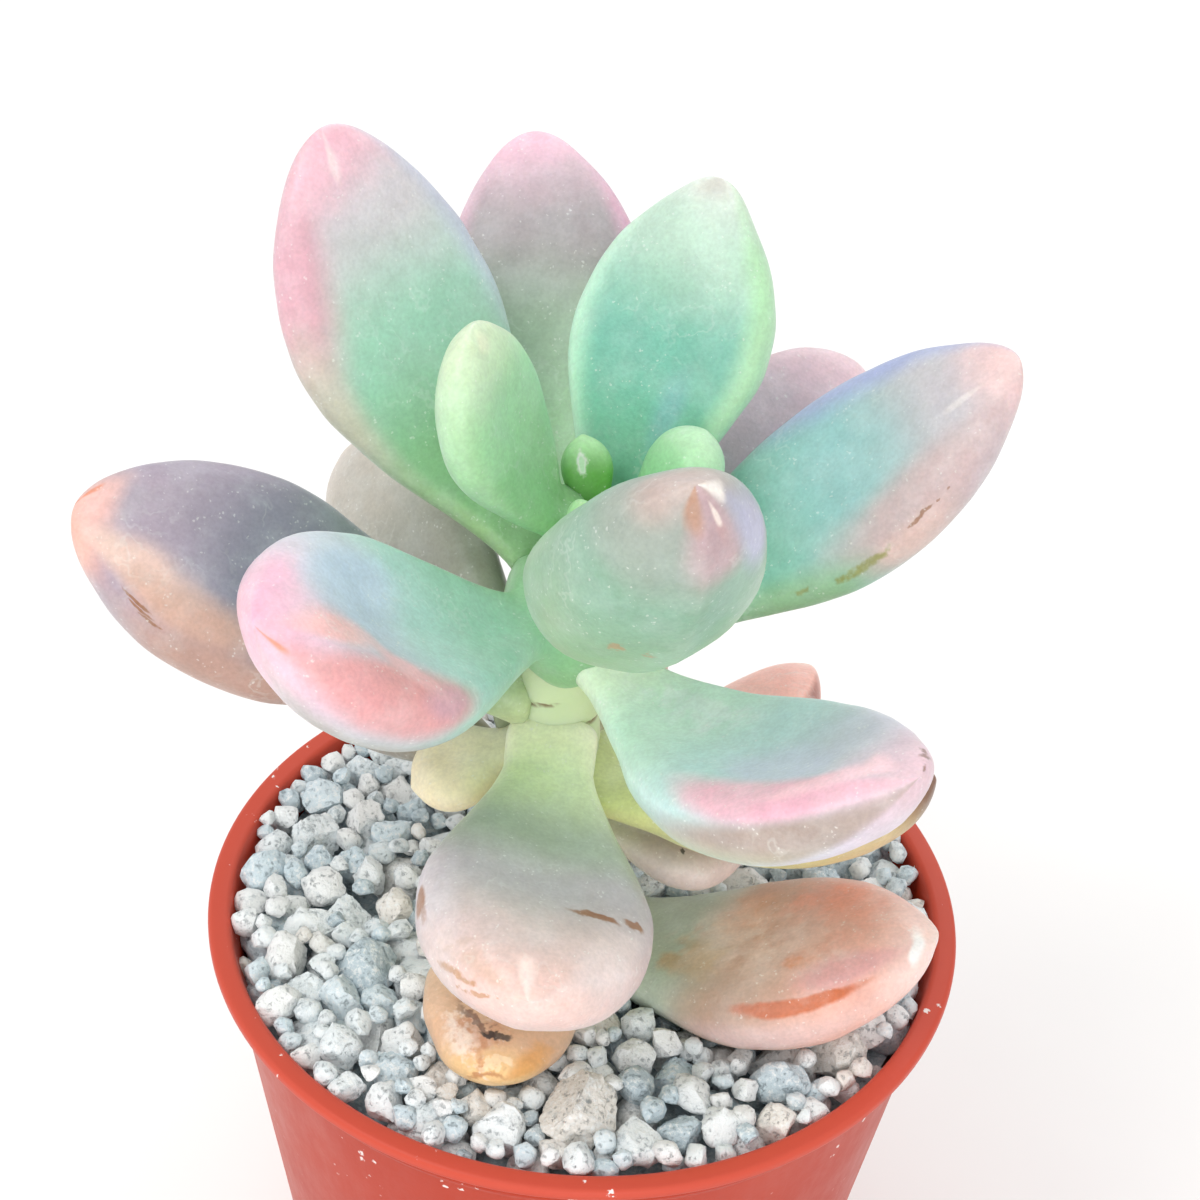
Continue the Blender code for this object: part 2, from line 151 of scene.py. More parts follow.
class Sheet:
    """The node sheet of one material, with the few kinds of node this plant needs."""

    def __init__(self, name: str) -> None:
        """Start a material with a Principled surface and nothing else."""
        self.material = bpy.data.materials.new(name)
        self.material.use_nodes = True
        self.tree = self.material.node_tree
        self.tree.nodes.clear()
        self.surface = self.tree.nodes.new("ShaderNodeBsdfPrincipled")
        output = self.tree.nodes.new("ShaderNodeOutputMaterial")
        self.tree.links.new(self.surface.outputs["BSDF"], output.inputs["Surface"])

    def node(self, kind: str, settings: dict[str, Any] | None = None,
             inputs: dict[Any, Any] | None = None, result: int | str = 0) -> Sock:
        """Add a node.

        Args:
            kind: The node's type.
            settings: Its own settings, set first; "stops" fills a colour ramp.
            inputs: Values or sockets by input name or number.
            result: The output to return.

        Returns:
            The output socket.
        """
        made = self.tree.nodes.new(kind)
        for key, value in (settings or {}).items():
            if key == "stops":
                self._fill_ramp(made.color_ramp, value)
            else:
                setattr(made, key, value)
        for key, value in (inputs or {}).items():
            self.feed(made.inputs[key], value)
        return Sock(self, made.outputs[result])

    @staticmethod
    def _fill_ramp(ramp: bpy.types.ColorRamp, stops: Sequence[tuple[float, Colour]]) -> None:
        """Set a ramp's stops."""
        ramp.interpolation = "EASE"
        while len(ramp.elements) < len(stops):
            ramp.elements.new(1.0)
        for element, (place, colour) in zip(ramp.elements, stops):
            element.position = place
            element.color = rgba(colour)

    def feed(self, socket: bpy.types.NodeSocket, value: Any) -> None:
        """Link a socket to another one, or set its value."""
        if isinstance(value, Sock):
            self.tree.links.new(value.socket, socket)
        elif isinstance(value, (tuple, list, Vector)):
            room = len(socket.default_value)
            socket.default_value = (tuple(value) + (1.0,))[:room]
        else:
            socket.default_value = value

    def mix(self, first: Paint, second: Paint, share: Value, blend: str = "MIX") -> Sock:
        """Blend two colours by a share of the second."""
        return self.node("ShaderNodeMix", {"data_type": "RGBA", "blend_type": blend},
                         {0: share, 6: first, 7: second}, result=2)

    def vector(self, operation: str, first: Any, second: Any = None, result: int | str = 0) -> Sock:
        """Add one Vector Math node."""
        values = {0: first}
        if second is not None:
            values[1] = second
        return self.node("ShaderNodeVectorMath", {"operation": operation}, values, result)

    def part(self, vector: Sock, which: int) -> Sock:
        """Return one part of a vector: 0 for x, 1 for y or 2 for z."""
        return self.node("ShaderNodeSeparateXYZ", None, {0: vector}, which)

    def scaled(self, vector: Sock, factor: float) -> Sock:
        """Return a vector times a factor."""
        result = self.vector("SCALE", vector)
        self.feed(result.socket.node.inputs["Scale"], factor)
        return result

    def place(self) -> Sock:
        """Return the object coordinates."""
        return self.node("ShaderNodeTexCoord", result="Object")

    def stored(self, name: str, result: str = "Fac") -> Sock:
        """Return an attribute stored on the mesh."""
        return self.node("ShaderNodeAttribute", {"attribute_name": name}, result=result)

    def cloud(self, place: Sock, scale: float, detail: float = 3.0, roughness: float = 0.5,
              result: str = "Fac") -> Sock:
        """Return a noise cloud, 0 to 1, of so many lumps a metre."""
        return self.node("ShaderNodeTexNoise", {"noise_dimensions": "3D"},
                         {"Vector": place, "Scale": scale, "Detail": detail, "Roughness": roughness}, result)

    def cells(self, place: Sock, scale: float) -> Sock:
        """Return the distance to the nearest of scattered points, of so many a metre."""
        return self.node("ShaderNodeTexVoronoi", {"feature": "F1"}, {"Vector": place, "Scale": scale},
                         "Distance")

    def bump(self, height: Value, distance: float, strength: float = 1.0,
             under: Sock | None = None) -> Sock:
        """Return a normal raised by a height."""
        values: dict[Any, Any] = {"Height": height, "Distance": distance, "Strength": strength}
        if under is not None:
            values["Normal"] = under
        return self.node("ShaderNodeBump", None, values)

    def finish(self, **inputs: Any) -> bpy.types.Material:
        """Feed the Principled surface and return the material.

        Args:
            **inputs: Values or sockets by input name, with _ for a space.

        Returns:
            The material.
        """
        for key, value in inputs.items():
            self.feed(self.surface.inputs[key.replace("_", " ")], value)
        return self.material


# ----------------------------------------------------------------------------- finishes


@dataclass(frozen=True)
class Wash:
    """A soft patch of colour in a leaf's own coordinates; most are the leaf's own colour, and some are
    painted highlights and painted light, noted where the leaves are listed.

    Attributes:
        colour: The patch's colour.
        at: Its middle as (along, side, top): 0 to 1 from base to tip, -1 to 1 across, -1 under to 1 over.
        reach: How far it reaches each way in the same coordinates.
        strength: How much it covers at its middle.
        core: The share of the reach that is covered in full.
        ragged: How far noise breaks up its edge.
        grain: How fine that noise is, in lumps a metre.
        slant: How far it drifts to the side for each unit along.
    """

    colour: Colour
    at: tuple[float, float, float]
    reach: tuple[float, float, float]
    strength: float = 1.0
    core: float = 0.2
    ragged: float = 0.028
    grain: float = 130.0
    slant: float = 0.0


@dataclass(frozen=True)
class LeafFinish:
    """The skin of one leaf.

    Attributes:
        stops: Colours along the leaf, as (share, colour) pairs.
        washes: Patches laid over them in order.
        bloom: How much of the pale powdery bloom covers it.
        specks: How many white specks lie on it.
        gloss: Roughness of the skin.
        depth: Share of the light that the colours keep.
    """

    stops: tuple[tuple[float, Colour], ...]
    washes: tuple[Wash, ...] = ()
    bloom: float = 0.11
    specks: float = 0.36
    gloss: float = 0.37
    depth: float = 0.9
    bloom_colour: Colour = tone(226, 236, 236)

    def material(self, name: str) -> bpy.types.Material:
        """Build the leaf's skin as a material."""
        sheet = Sheet(name)
        place = sheet.place()
        spot = sheet.stored("leaf_place", "Vector")
        along = sheet.part(spot, 0)
        drift = sheet.cloud(place, 90.0, 2.0)
        colour = sheet.node("ShaderNodeValToRGB", {"stops": self.stops},
                            {0: along + (drift - 0.5) * 0.16})
        for wash in self.washes:
            colour = self._lay(sheet, colour, spot, place, wash)
        colour = self._powder(sheet, colour, place)
        mottle = sheet.cloud(place, 520.0, 5.0, 0.65)
        grain = sheet.cloud(place, 3200.0, 2.0)
        value = mottle.ramped(0.3, 0.7, 0.94, 1.05) * grain.ramped(0.25, 0.75, 0.945, 1.05) * self.depth
        shade = sheet.node("ShaderNodeHueSaturation", None,
                           {"Value": value,
                            "Saturation": drift.ramped(0.3, 0.7, 0.96, 1.12), "Color": colour})
        dents = sheet.cloud(place, 240.0, 3.0)
        normal = sheet.bump(dents, 0.30 * MM, 0.3)
        normal = sheet.bump(mottle + grain * 0.4, 0.09 * MM, 0.6, normal)
        roughness = (self.gloss + (mottle - 0.5) * 0.22).clamped()
        return sheet.finish(Base_Color=shade, Roughness=roughness, Normal=normal, IOR=1.40,
                            Subsurface_Weight=0.42, Subsurface_Radius=(1.0, 0.85, 0.6),
                            Subsurface_Scale=2.6 * MM, Specular_IOR_Level=0.5, Sheen_Weight=0.07,
                            Sheen_Roughness=0.45, Sheen_Tint=rgba(self.bloom_colour))

    @staticmethod
    def _lay(sheet: Sheet, under: Sock, spot: Sock, place: Sock, wash: Wash) -> Sock:
        """Lay one wash over a colour."""
        wander = sheet.cloud(place, wash.grain, 3.0, 0.6, "Color")
        shift = sheet.scaled(sheet.vector("SUBTRACT", wander, (0.5, 0.5, 0.5)), wash.ragged * 4.0)
        moved = sheet.vector("ADD", spot, shift)
        offset = sheet.vector("SUBTRACT", moved, wash.at)
        if wash.slant:
            along = sheet.part(offset, 0)
            drift = sheet.node("ShaderNodeCombineXYZ", None, {1: along * wash.slant})
            offset = sheet.vector("SUBTRACT", offset, drift)
        scaled = sheet.vector("DIVIDE", offset, wash.reach)
        distance = sheet.vector("LENGTH", scaled, None, "Value")
        return sheet.mix(under, wash.colour, distance.ramped(wash.core, 1.0, wash.strength, 0.0))

    def _powder(self, sheet: Sheet, under: Sock, place: Sock) -> Sock:
        """Dust a colour with bloom and white specks."""
        drifts = sheet.cloud(place, 230.0, 6.0, 0.66)
        powdered = sheet.mix(under, self.bloom_colour, drifts.ramped(0.42, 0.64, 0.15, 1.2) * self.bloom)
        curls = abs(sheet.cloud(place, 380.0, 3.0) - 0.5).ramped(0.006, 0.03, 1.0, 0.0)
        curls = curls * sheet.cloud(place, 140.0, 2.0).ramped(0.53, 0.68)
        powdered = sheet.mix(powdered, tone(240, 248, 244), curls * (self.specks * 0.42))
        broken = sheet.scaled(sheet.cloud(place, 4200.0, 2.0, 0.5, "Color"), 0.35 * MM)
        place = sheet.vector("ADD", place, broken)
        for spread, share, most in ((2300.0, 0.48, 0.30), (1100.0, 0.62, 0.13)):
            dots = sheet.cells(place, spread)
            chosen = sheet.cloud(place, spread * 0.4, 2.0)
            size = chosen.ramped(share - 0.08, share + 0.2, 0.0, most)
            specks = (size - dots).ramped(0.0, 0.12) * self.specks
            powdered = sheet.mix(powdered, tone(246, 248, 244), specks)
        return powdered


@dataclass(frozen=True)
class StemFinish:
    """The bare stem: yellow-green skin that turns tan and scarred towards the ground."""

    young: Colour = tone(212, 228, 184)
    old: Colour = tone(190, 182, 134)
    scar: Colour = tone(132, 104, 68)
    low: float = 0.060
    high: float = 0.082

    def material(self, name: str) -> bpy.types.Material:
        """Build the stem's skin as a material."""
        sheet = Sheet(name)
        place = sheet.place()
        height = sheet.part(place, 2)
        drift = sheet.cloud(place, 240.0, 4.0, 0.6)
        colour = sheet.mix(self.old, self.young, (height + (drift - 0.5) * 0.012).ramped(self.low, self.high))
        colour = sheet.mix(colour, self.scar, sheet.stored("scar").ramped(0.35, 0.9, 0.0, 0.85))
        fine = sheet.cloud(place, 1500.0, 3.0)
        colour = sheet.mix(colour, tone(226, 230, 206), drift.ramped(0.5, 0.8, 0.0, 0.35))
        return sheet.finish(Base_Color=colour, Roughness=drift.ramped(0.2, 0.8, 0.5, 0.72),
                            Normal=sheet.bump(fine + drift * 3.0, 0.12 * MM, 0.6),
                            Subsurface_Weight=0.4, Subsurface_Scale=2.4 * MM,
                            Subsurface_Radius=(1.0, 0.9, 0.5))


@dataclass(frozen=True)
class PlasticFinish:
    """Satin terracotta-red plastic with dust, scuffs and faint mould lines, and a lighter lip that is a
    painted highlight.
    """

    colour: Colour = tone(178, 56, 34)
    sun: Colour = tone(184, 64, 42)
    # lip: lighter red for the top of the lip, a painted highlight where it catches the light.
    lip: Colour = tone(206, 85, 67)
    dust: Colour = tone(236, 222, 214)
    lip_low: float = 56.4 * MM
    lip_high: float = 57.6 * MM

    def material(self, name: str) -> bpy.types.Material:
        """Build the pot's plastic as a material."""
        sheet = Sheet(name)
        place = sheet.place()
        drift = sheet.cloud(place, 60.0, 3.0)
        colour = sheet.mix(self.colour, self.sun, drift.ramped(0.35, 0.7))
        haze = sheet.cloud(place, 170.0, 6.0, 0.7)
        colour = sheet.mix(colour, self.dust, haze.ramped(0.56, 0.85, 0.0, 0.06))
        height = sheet.part(place, 2)
        # Painted highlight: the top of the lip turns towards the lighter lip colour.
        colour = sheet.mix(colour, self.lip, height.ramped(self.lip_low, self.lip_high, 0.0, 0.85))
        near_lip = height.ramped(0.044, 0.0566, 0.25, 1.0)
        broken = sheet.scaled(sheet.cloud(place, 2600.0, 3.0, 0.6, "Color"), 0.9 * MM)
        dots = sheet.cells(sheet.vector("ADD", place, broken), 900.0)
        chosen = sheet.cloud(place, 330.0, 3.0)
        specks = (chosen.ramped(0.46, 0.74, 0.0, 0.34) - dots).ramped(0.0, 0.1) * near_lip
        colour = sheet.mix(colour, tone(246, 240, 236), specks)
        stretched = sheet.vector("MULTIPLY", place, (900.0, 900.0, 60.0))
        scuff = sheet.cloud(stretched, 1.0, 4.0, 0.6)
        ripples = sheet.cloud(place, 110.0, 2.0)
        normal = sheet.bump(ripples, 0.25 * MM, 0.25)
        normal = sheet.bump(scuff + sheet.cloud(place, 1800.0, 2.0) * 0.6, 0.03 * MM, 0.5, normal)
        rough = (0.34 + (haze - 0.4) * 0.35 + specks * 0.4 + (scuff - 0.5) * 0.12).clamped()
        return sheet.finish(Base_Color=colour, Roughness=rough, Normal=normal, IOR=1.49,
                            Specular_IOR_Level=0.16)


@dataclass(frozen=True)
class PumiceFinish:
    """Porous pumice: pale grains with grey, cream and blue-green ones among them, with painted shade in
    blotches and pores, and lighter raised crumbs that are partly painted highlight.
    """

    pale: Colour = tone(245, 252, 254)
    grey: Colour = tone(198, 213, 220)
    cool: Colour = tone(220, 236, 243)
    warm: Colour = tone(246, 236, 224)
    # Painted shade: the blue-grey that pits, crevices and the gaps between grains take in shade, laid into
    # the colour.
    crevice_shade: Colour = tone(132, 150, 158)

    def material(self, name: str, depth: float = 0.0) -> bpy.types.Material:
        """Build the pumice as a material.

        Args:
            name: The material's name.
            depth: How much of the painted crevice shade covers the whole, for the bed that shows in the
                shaded gaps between grains.

        Returns:
            The material.
        """
        sheet = Sheet(name)
        place = sheet.place()
        tint = sheet.stored("grain_tint")
        warmth = sheet.stored("grain_warmth")
        colour = sheet.node("ShaderNodeValToRGB", {"stops": (
            (0.0, self.grey), (0.2, self.cool), (0.45, self.pale), (1.0, tone(254, 255, 254)))}, {0: tint})
        colour = sheet.mix(colour, self.warm, warmth.ramped(0.88, 0.98, 0.0, 0.7))
        patches = sheet.cloud(place, 460.0, 6.0, 0.74)
        # Painted shade: blotches of the crevice shade, laid by the noise that also raises the larger bumps.
        colour = sheet.mix(colour, self.crevice_shade, patches.ramped(0.52, 0.72, 0.0, 0.55))
        crumbs = sheet.cloud(place, 1700.0, 5.0, 0.72)
        # Lighter on the raised crumbs: partly the pumice's own white, partly a painted highlight.
        colour = sheet.mix(colour, tone(253, 255, 254), crumbs.ramped(0.50, 0.64, 0.0, 0.75))
        # Painted shade: the pores, which the bump sinks, are darkened towards the crevice shade.
        pores = crumbs.ramped(0.32, 0.44, 1.0, 0.0)
        colour = sheet.mix(colour, self.crevice_shade, pores * 0.4)
        # Painted shade: the whole is darkened by depth, for the bed seen in the gaps.
        if depth:
            colour = sheet.mix(colour, self.crevice_shade, depth)
        normal = sheet.bump(patches, 0.7 * MM, 0.6)
        normal = sheet.bump(crumbs - pores * 0.5, 0.26 * MM, 0.8, normal)
        return sheet.finish(Base_Color=colour, Roughness=crumbs.ramped(0.2, 0.8, 0.8, 0.96), Normal=normal,
                            Specular_IOR_Level=0.25)


@dataclass(frozen=True)
class SoilFinish:
    """Damp dark potting mix."""

    dark: Colour = tone(44, 34, 27)
    light: Colour = tone(96, 76, 58)

    def material(self, name: str) -> bpy.types.Material:
        """Build the potting mix as a material."""
        sheet = Sheet(name)
        place = sheet.place()
        crumbs = sheet.cloud(place, 500.0, 6.0, 0.7)
        colour = sheet.mix(self.dark, self.light, crumbs.ramped(0.45, 0.75))
        return sheet.finish(Base_Color=colour, Roughness=crumbs.ramped(0.3, 0.7, 0.8, 0.98),
                            Normal=sheet.bump(crumbs, 0.8 * MM, 0.9))


@dataclass(frozen=True)
class TableFinish:
    """A plain pale table top with a faint grain."""

    colour: Colour = tone(250, 250, 249)

    def material(self, name: str) -> bpy.types.Material:
        """Build the table's surface as a material."""
        sheet = Sheet(name)
        grain = sheet.cloud(sheet.place(), 40.0, 4.0)
        return sheet.finish(Base_Color=sheet.mix(self.colour, tone(246, 246, 245), grain),
                            Roughness=grain.ramped(0.3, 0.7, 0.75, 0.85))


# ----------------------------------------------------------------------------- shared building


def mesh_from(shape: bmesh.types.BMesh, name: str) -> bpy.types.Mesh:
    """Turn a bmesh into a mesh and free it."""
    mesh = bpy.data.meshes.new(name)
    shape.to_mesh(mesh)
    shape.free()
    return mesh


def placed(name: str, data: bpy.types.ID) -> bpy.types.Object:
    """Put a mesh, a lamp or a camera into the scene as an object."""
    item = bpy.data.objects.new(name, data)
    bpy.context.scene.collection.objects.link(item)
    return item


def on_sphere(vert: bmesh.types.BMVert) -> tuple[float, float]:
    """Return how far a sphere's vertex lies below its pole, 0 to 1, and the angle round it."""
    return math.acos(max(-1.0, min(1.0, vert.co.z))) / math.pi, math.atan2(vert.co.y, vert.co.x)


def piece_from(shape: bmesh.types.BMesh, name: str, material: bpy.types.Material,
               stands_for: Iterable[str] = ()) -> bpy.types.Object:
    """Turn a finished bmesh into a smooth-shaded piece that goes with the plant.

    Args:
        shape: The mesh being made; it is freed.
        name: The piece's name.
        material: Its material.
        stands_for: The solids that it is shown instead of.

    Returns:
        The new object.
    """
    shape.normal_update()
    bmesh.ops.recalc_face_normals(shape, faces=shape.faces)
    mesh = mesh_from(shape, name)
    mesh.materials.append(material)
    mesh.shade_smooth()
    piece = placed(name, mesh)
    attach(piece, "root")
    for node in stands_for:
        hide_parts(node)
    LOG.info("%s: %d faces", name, len(mesh.polygons))
    return piece


@dataclass
class StemLine:
    """The stem's axis and thickness, by height above the pot's rim."""

    rim: float
    base_radius: float = 3.2 * MM
    top_radius: float = 1.9 * MM
    top: float = 41.0 * MM
    rooted: float = 9.0 * MM
    lean: float = -3.4 * MM
    top_x: float = -0.2 * MM
    top_y: float = 0.5 * MM
    bend_start: float = 22.0 * MM
    bend_length: float = 20.0 * MM

    def point(self, height: float) -> Vector:
        """Return a point of the axis."""
        bend = ease((height - self.bend_start) / self.bend_length)
        return Vector((self.lean + (self.top_x - self.lean) * bend, self.top_y * bend, self.rim + height))

    def radius(self, height: float) -> float:
        """Return the radius at a height."""
        share = min(1.0, max(0.0, height / self.top))
        return self.base_radius + (self.top_radius - self.base_radius) * share

    def slope(self, height: float, facing: float) -> float:
        """Return the rise that faces squarely out of the leaning stem at a height and azimuth."""
        run = self.point(height + MM) - self.point(height - MM)
        return -math.atan((run.x * math.cos(facing) + run.y * math.sin(facing)) / run.z)


@dataclass(frozen=True)
class Growth:
    """How one leaf grows: place on the stem, lean and curve in degrees, and size in mm."""

    height: float
    azimuth: float
    rise: float
    curl: float
    length: float
    width: float
    thickness: float
    sway: float
    roll: float
    neck: float
    point: float


@dataclass(frozen=True)
class Flesh:
    """How a leaf's cross-section differs from a plain ellipse.

    Attributes:
        groove: How deep the upper face is hollowed, as a share of the thickness above the midrib.
        breadth: How broad the hollow is, as a share of the half width.
        keel: How far the underside is ridged along its middle towards the tip.
        square: How square the upper half of the section is; 2 is an ellipse.
        belly: The same for the lower half.
        flare: How far the base widens where it clasps the stem.
        nib: Length of the small point at the tip, in mm.
        ripple: Height of the uneven swellings, in mm.
        hollow_end: Where along the leaf the hollow has faded out.
    """

    groove: float = 0.26
    breadth: float = 0.55
    keel: float = 0.06
    square: float = 2.5
    belly: float = 2.15
    flare: float = 0.3
    nib: float = 0.22
    ripple: float = 0.22
    hollow_end: float = 0.86


@dataclass(frozen=True)
class Section:
    """One cross-section of a leaf."""

    along: float
    centre: Vector
    side: Vector
    up: Vector
    ahead: Vector
    half_width: float
    thickness: float


@dataclass
class FleshyLeaf:
    """One thick leaf, shaped from a sphere drawn out along the leaf's midrib."""

    node: str
    growth: Growth
    finish: LeafFinish
    flesh: Flesh = field(default_factory=Flesh)
    slot: Slot = Slot.LEAF
    sides: int = 48
    rings: int = 88
    widest: float = 0.60
    upper_share: float = 0.42
    base_thickness: float = 0.42
    stem_gap: float = 0.45 * MM
    root_depth: float = 1.1 * MM
    cap_share: float = 0.05
    tip_rounding: float = 0.14

    def midrib(self, stem: StemLine, steps: int = 60) -> list[Vector]:
        """Return evenly spaced points of the midrib, starting just clear of the stem."""
        grown = self.growth
        facing = math.radians(grown.azimuth)
        reach = stem.radius(grown.height * MM) + self.stem_gap
        point = stem.point(grown.height * MM) + reach * Vector((math.cos(facing), math.sin(facing), 0.0))
        points = [point]
        for k in range(steps):
            point = point + self.heading((k + 0.5) / steps)[0] * (grown.length * MM / steps)
            points.append(point)
        return points

    def heading(self, along: float) -> tuple[Vector, float, float]:
        """Return the midrib's direction, rise and azimuth at a share of its length."""
        rise = math.radians(self.growth.rise + self.growth.curl * along)
        turn = math.radians(self.growth.azimuth + self.growth.sway * along)
        return self.pointing(rise, turn), rise, turn

    @staticmethod
    def pointing(rise: float, turn: float) -> Vector:
        """Return the direction of a rise and an azimuth."""
        return Vector((math.cos(rise) * math.cos(turn), math.cos(rise) * math.sin(turn), math.sin(rise)))

    def width_share(self, along: float) -> float:
        """Return the width at a share of the length, as a share of the full width."""
        neck = self.growth.neck
        if along < self.widest:
            swell = ease((along - 0.03) / (self.widest - 0.03))
            return neck * (0.86 + 0.14 * ease(along / 0.1)) + (1.0 - neck) * swell
        past = (along - self.widest) / (1.0 - self.widest)
        sharpness = 0.4 * self.growth.point * (1.0 - math.exp((past - 1.0) / self.tip_rounding))
        return max(0.0, 1.0 - past ** 2.2) ** (0.5 + sharpness)

    def thickness_share(self, along: float) -> float:
        """Return the thickness at a share of the length, as a share of the full thickness."""
        if along < self.widest:
            swell = ease((along - 0.02) / (self.widest - 0.02))
            return self.base_thickness + (1.0 - self.base_thickness) * swell
        past = (along - self.widest) / (1.0 - self.widest)
        return max(0.0, 1.0 - past ** 2.5) ** 0.6

    def section(self, stem: StemLine, midrib: Sequence[Vector], along: float) -> Section:
        """Return the cross-section at a share of the length."""
        _, rise, turn = self.heading(along)
        square = stem.slope(self.growth.height * MM, math.radians(self.growth.azimuth))
        rise = square + (rise - square) * ease(along / 0.22)
        ahead = self.pointing(rise, turn)
        side = Vector((math.sin(turn), -math.cos(turn), 0.0))
        up = side.cross(ahead)
        twist = Matrix.Rotation(-math.radians(self.growth.roll) * ease(along / 0.3), 3, ahead)
        spot = along * (len(midrib) - 1)
        k = min(len(midrib) - 2, int(spot))
        clasp = 1.0 + self.flesh.flare * (1.0 - ease(along / 0.12))
        return Section(along, midrib[k].lerp(midrib[k + 1], spot - k), twist @ side, twist @ up, ahead,
                       self.growth.width * MM / 2 * self.width_share(along) * clasp,
                       self.growth.thickness * MM * self.thickness_share(along) * clasp)

    def skin_point(self, section: Section, angle: float, shrink: float, push: float) -> Vector:
        """Return a point of the skin round a section.

        Args:
            section: The cross-section.
            angle: The angle round it, 0 at the side and a quarter turn on top.
            shrink: How much the section is shrunk, 1 for its full size.
            push: How far back from the section the point lies.

        Returns:
            The point.
        """
        power = 2.0 / (self.flesh.square if math.sin(angle) > 0 else self.flesh.belly)
        across = math.copysign(abs(math.cos(angle)) ** power, math.cos(angle))
        lift = math.copysign(abs(math.sin(angle)) ** power, math.sin(angle))
        fade = ease(section.along / 0.25) * (
            1.0 - ease((section.along - 0.6) / (self.flesh.hollow_end - 0.6)))
        if lift > 0:
            hollow = self.flesh.groove * fade * math.exp(-((across / self.flesh.breadth) ** 2))
            height = self.upper_share * lift * (1.0 - hollow)
        else:
            ridge = self.flesh.keel * ease(section.along) * (math.exp(-((across / 0.25) ** 2)) - 0.35)
            height = (1.0 - self.upper_share) * lift * (1.0 + ridge)
        return (section.centre + section.side * (section.half_width * across * shrink)
                + section.up * (section.thickness * height * shrink) - section.ahead * push)

    def build(self, stem: StemLine) -> bpy.types.Object:
        """Shape the leaf and dress it.

        Args:
            stem: The stem that it springs from.

        Returns:
            The leaf's object.
        """
        shape = bmesh.new()
        bmesh.ops.create_uvsphere(shape, u_segments=self.sides, v_segments=self.rings, radius=1.0)
        spots = shape.verts.layers.float_vector.new("leaf_place")
        midrib = self.midrib(stem)
        known: dict[int, Section] = {}
        seed = Vector((self.growth.azimuth, self.growth.height, 0.0)) * 0.37
        for vert in shape.verts:
            fall, angle = on_sphere(vert)
            ring = round(fall * self.rings)
            share = min(1.0, fall / (1.0 - self.cap_share))
            cap = max(0.0, (fall - (1.0 - self.cap_share)) / self.cap_share)
            if ring not in known:
                known[ring] = self.section(stem, midrib, 1.0 - share ** 2)
            section = known[ring]
            point = self.skin_point(section, angle, math.cos(cap * math.pi / 2),
                                    self.root_depth * math.sin(cap * math.pi / 2))
            lump = noise.noise(point / (7.0 * MM) + seed) + 0.5 * noise.noise(point / (3.2 * MM) - seed)
            swell = self.flesh.ripple * MM * lump * ease(section.along / 0.3) * min(1.0, share * 3.0)
            outward = (point - section.centre)
            if outward.length > 0:
                point = point + outward.normalized() * swell
            nib = math.exp(-((share / 0.08) ** 2)) * self.flesh.nib * MM
            vert.co = point + section.ahead * nib
            vert[spots] = (section.along, math.cos(angle), math.sin(angle))
        return piece_from(shape, self.node + "_skin", self.finish.material(self.node + "_skin"),
                          [self.node])


# ----------------------------------------------------------------------------- the stem


@dataclass
class BareStem:
    """The short bare stem, with the scars that fallen leaves left round it."""

    line: StemLine
    finish: StemFinish = StemFinish()
    sides: int = 48
    rings: int = 150
    scar_heights: tuple[float, ...] = (3.0, 6.5, 9.6, 12.6, 15.2, 18.3, 21.9, 24.6)
    scar_width: float = 0.55
    scar_depth: float = 0.32 * MM
    swelling: float = 1.15 * MM
    swell_from: float = 8.0
    swell_to: float = 34.0
    spiral_step: float = 137.5

    def build(self) -> bpy.types.Object:
        """Shape the stem from a sphere drawn out along its axis."""
        shape = bmesh.new()
        bmesh.ops.create_uvsphere(shape, u_segments=self.sides, v_segments=self.rings, radius=1.0)
        scars = shape.verts.layers.float.new("scar")
        low, high = -self.line.rooted, self.line.top
        for vert in shape.verts:
            fall, angle = on_sphere(vert)
            share = min(1.0, max(0.0, (1.0 - fall - 0.02) / 0.96))
            height = low + (high - low) * share
            end = min(1.0, min(fall, 1.0 - fall) / 0.02)
            mark = self.mark(height / MM, angle)
            swell = 0.22 * MM * noise.noise(Vector((math.cos(angle), math.sin(angle), height / (4.0 * MM))))
            swell += (self.swelling * ease((height / MM - self.swell_from) / 12.0)
                      * (1.0 - ease((height / MM - self.swell_to) / 6.0)))
            radius = (self.line.radius(height) + swell - self.scar_depth * mark) * math.sin(end * math.pi / 2)
            vert.co = self.line.point(height) + radius * Vector((math.cos(angle), math.sin(angle), 0.0))
            vert[scars] = mark
        return piece_from(shape, "stem_skin", self.finish.material("stem_skin"), ["stem"])

    def mark(self, height: float, angle: float) -> float:
        """Return how deep a leaf scar is at a height in mm and an angle round the stem."""
        deepest = 0.0
        for number, scar in enumerate(self.scar_heights):
            facing = math.radians(self.spiral_step * number - 60.0)
            away = math.cos(angle - facing)
            line = scar - 0.9 * away
            deepest = max(deepest, math.exp(-(((height - line) / (self.scar_width * 0.5)) ** 2))
                          * ease((away + 0.35) / 0.6))
        return deepest


# ----------------------------------------------------------------------------- the pumice


@dataclass
class Grain:
    """One grain as a ball: where it lies and how big it is."""

    centre: Vector
    radius: float


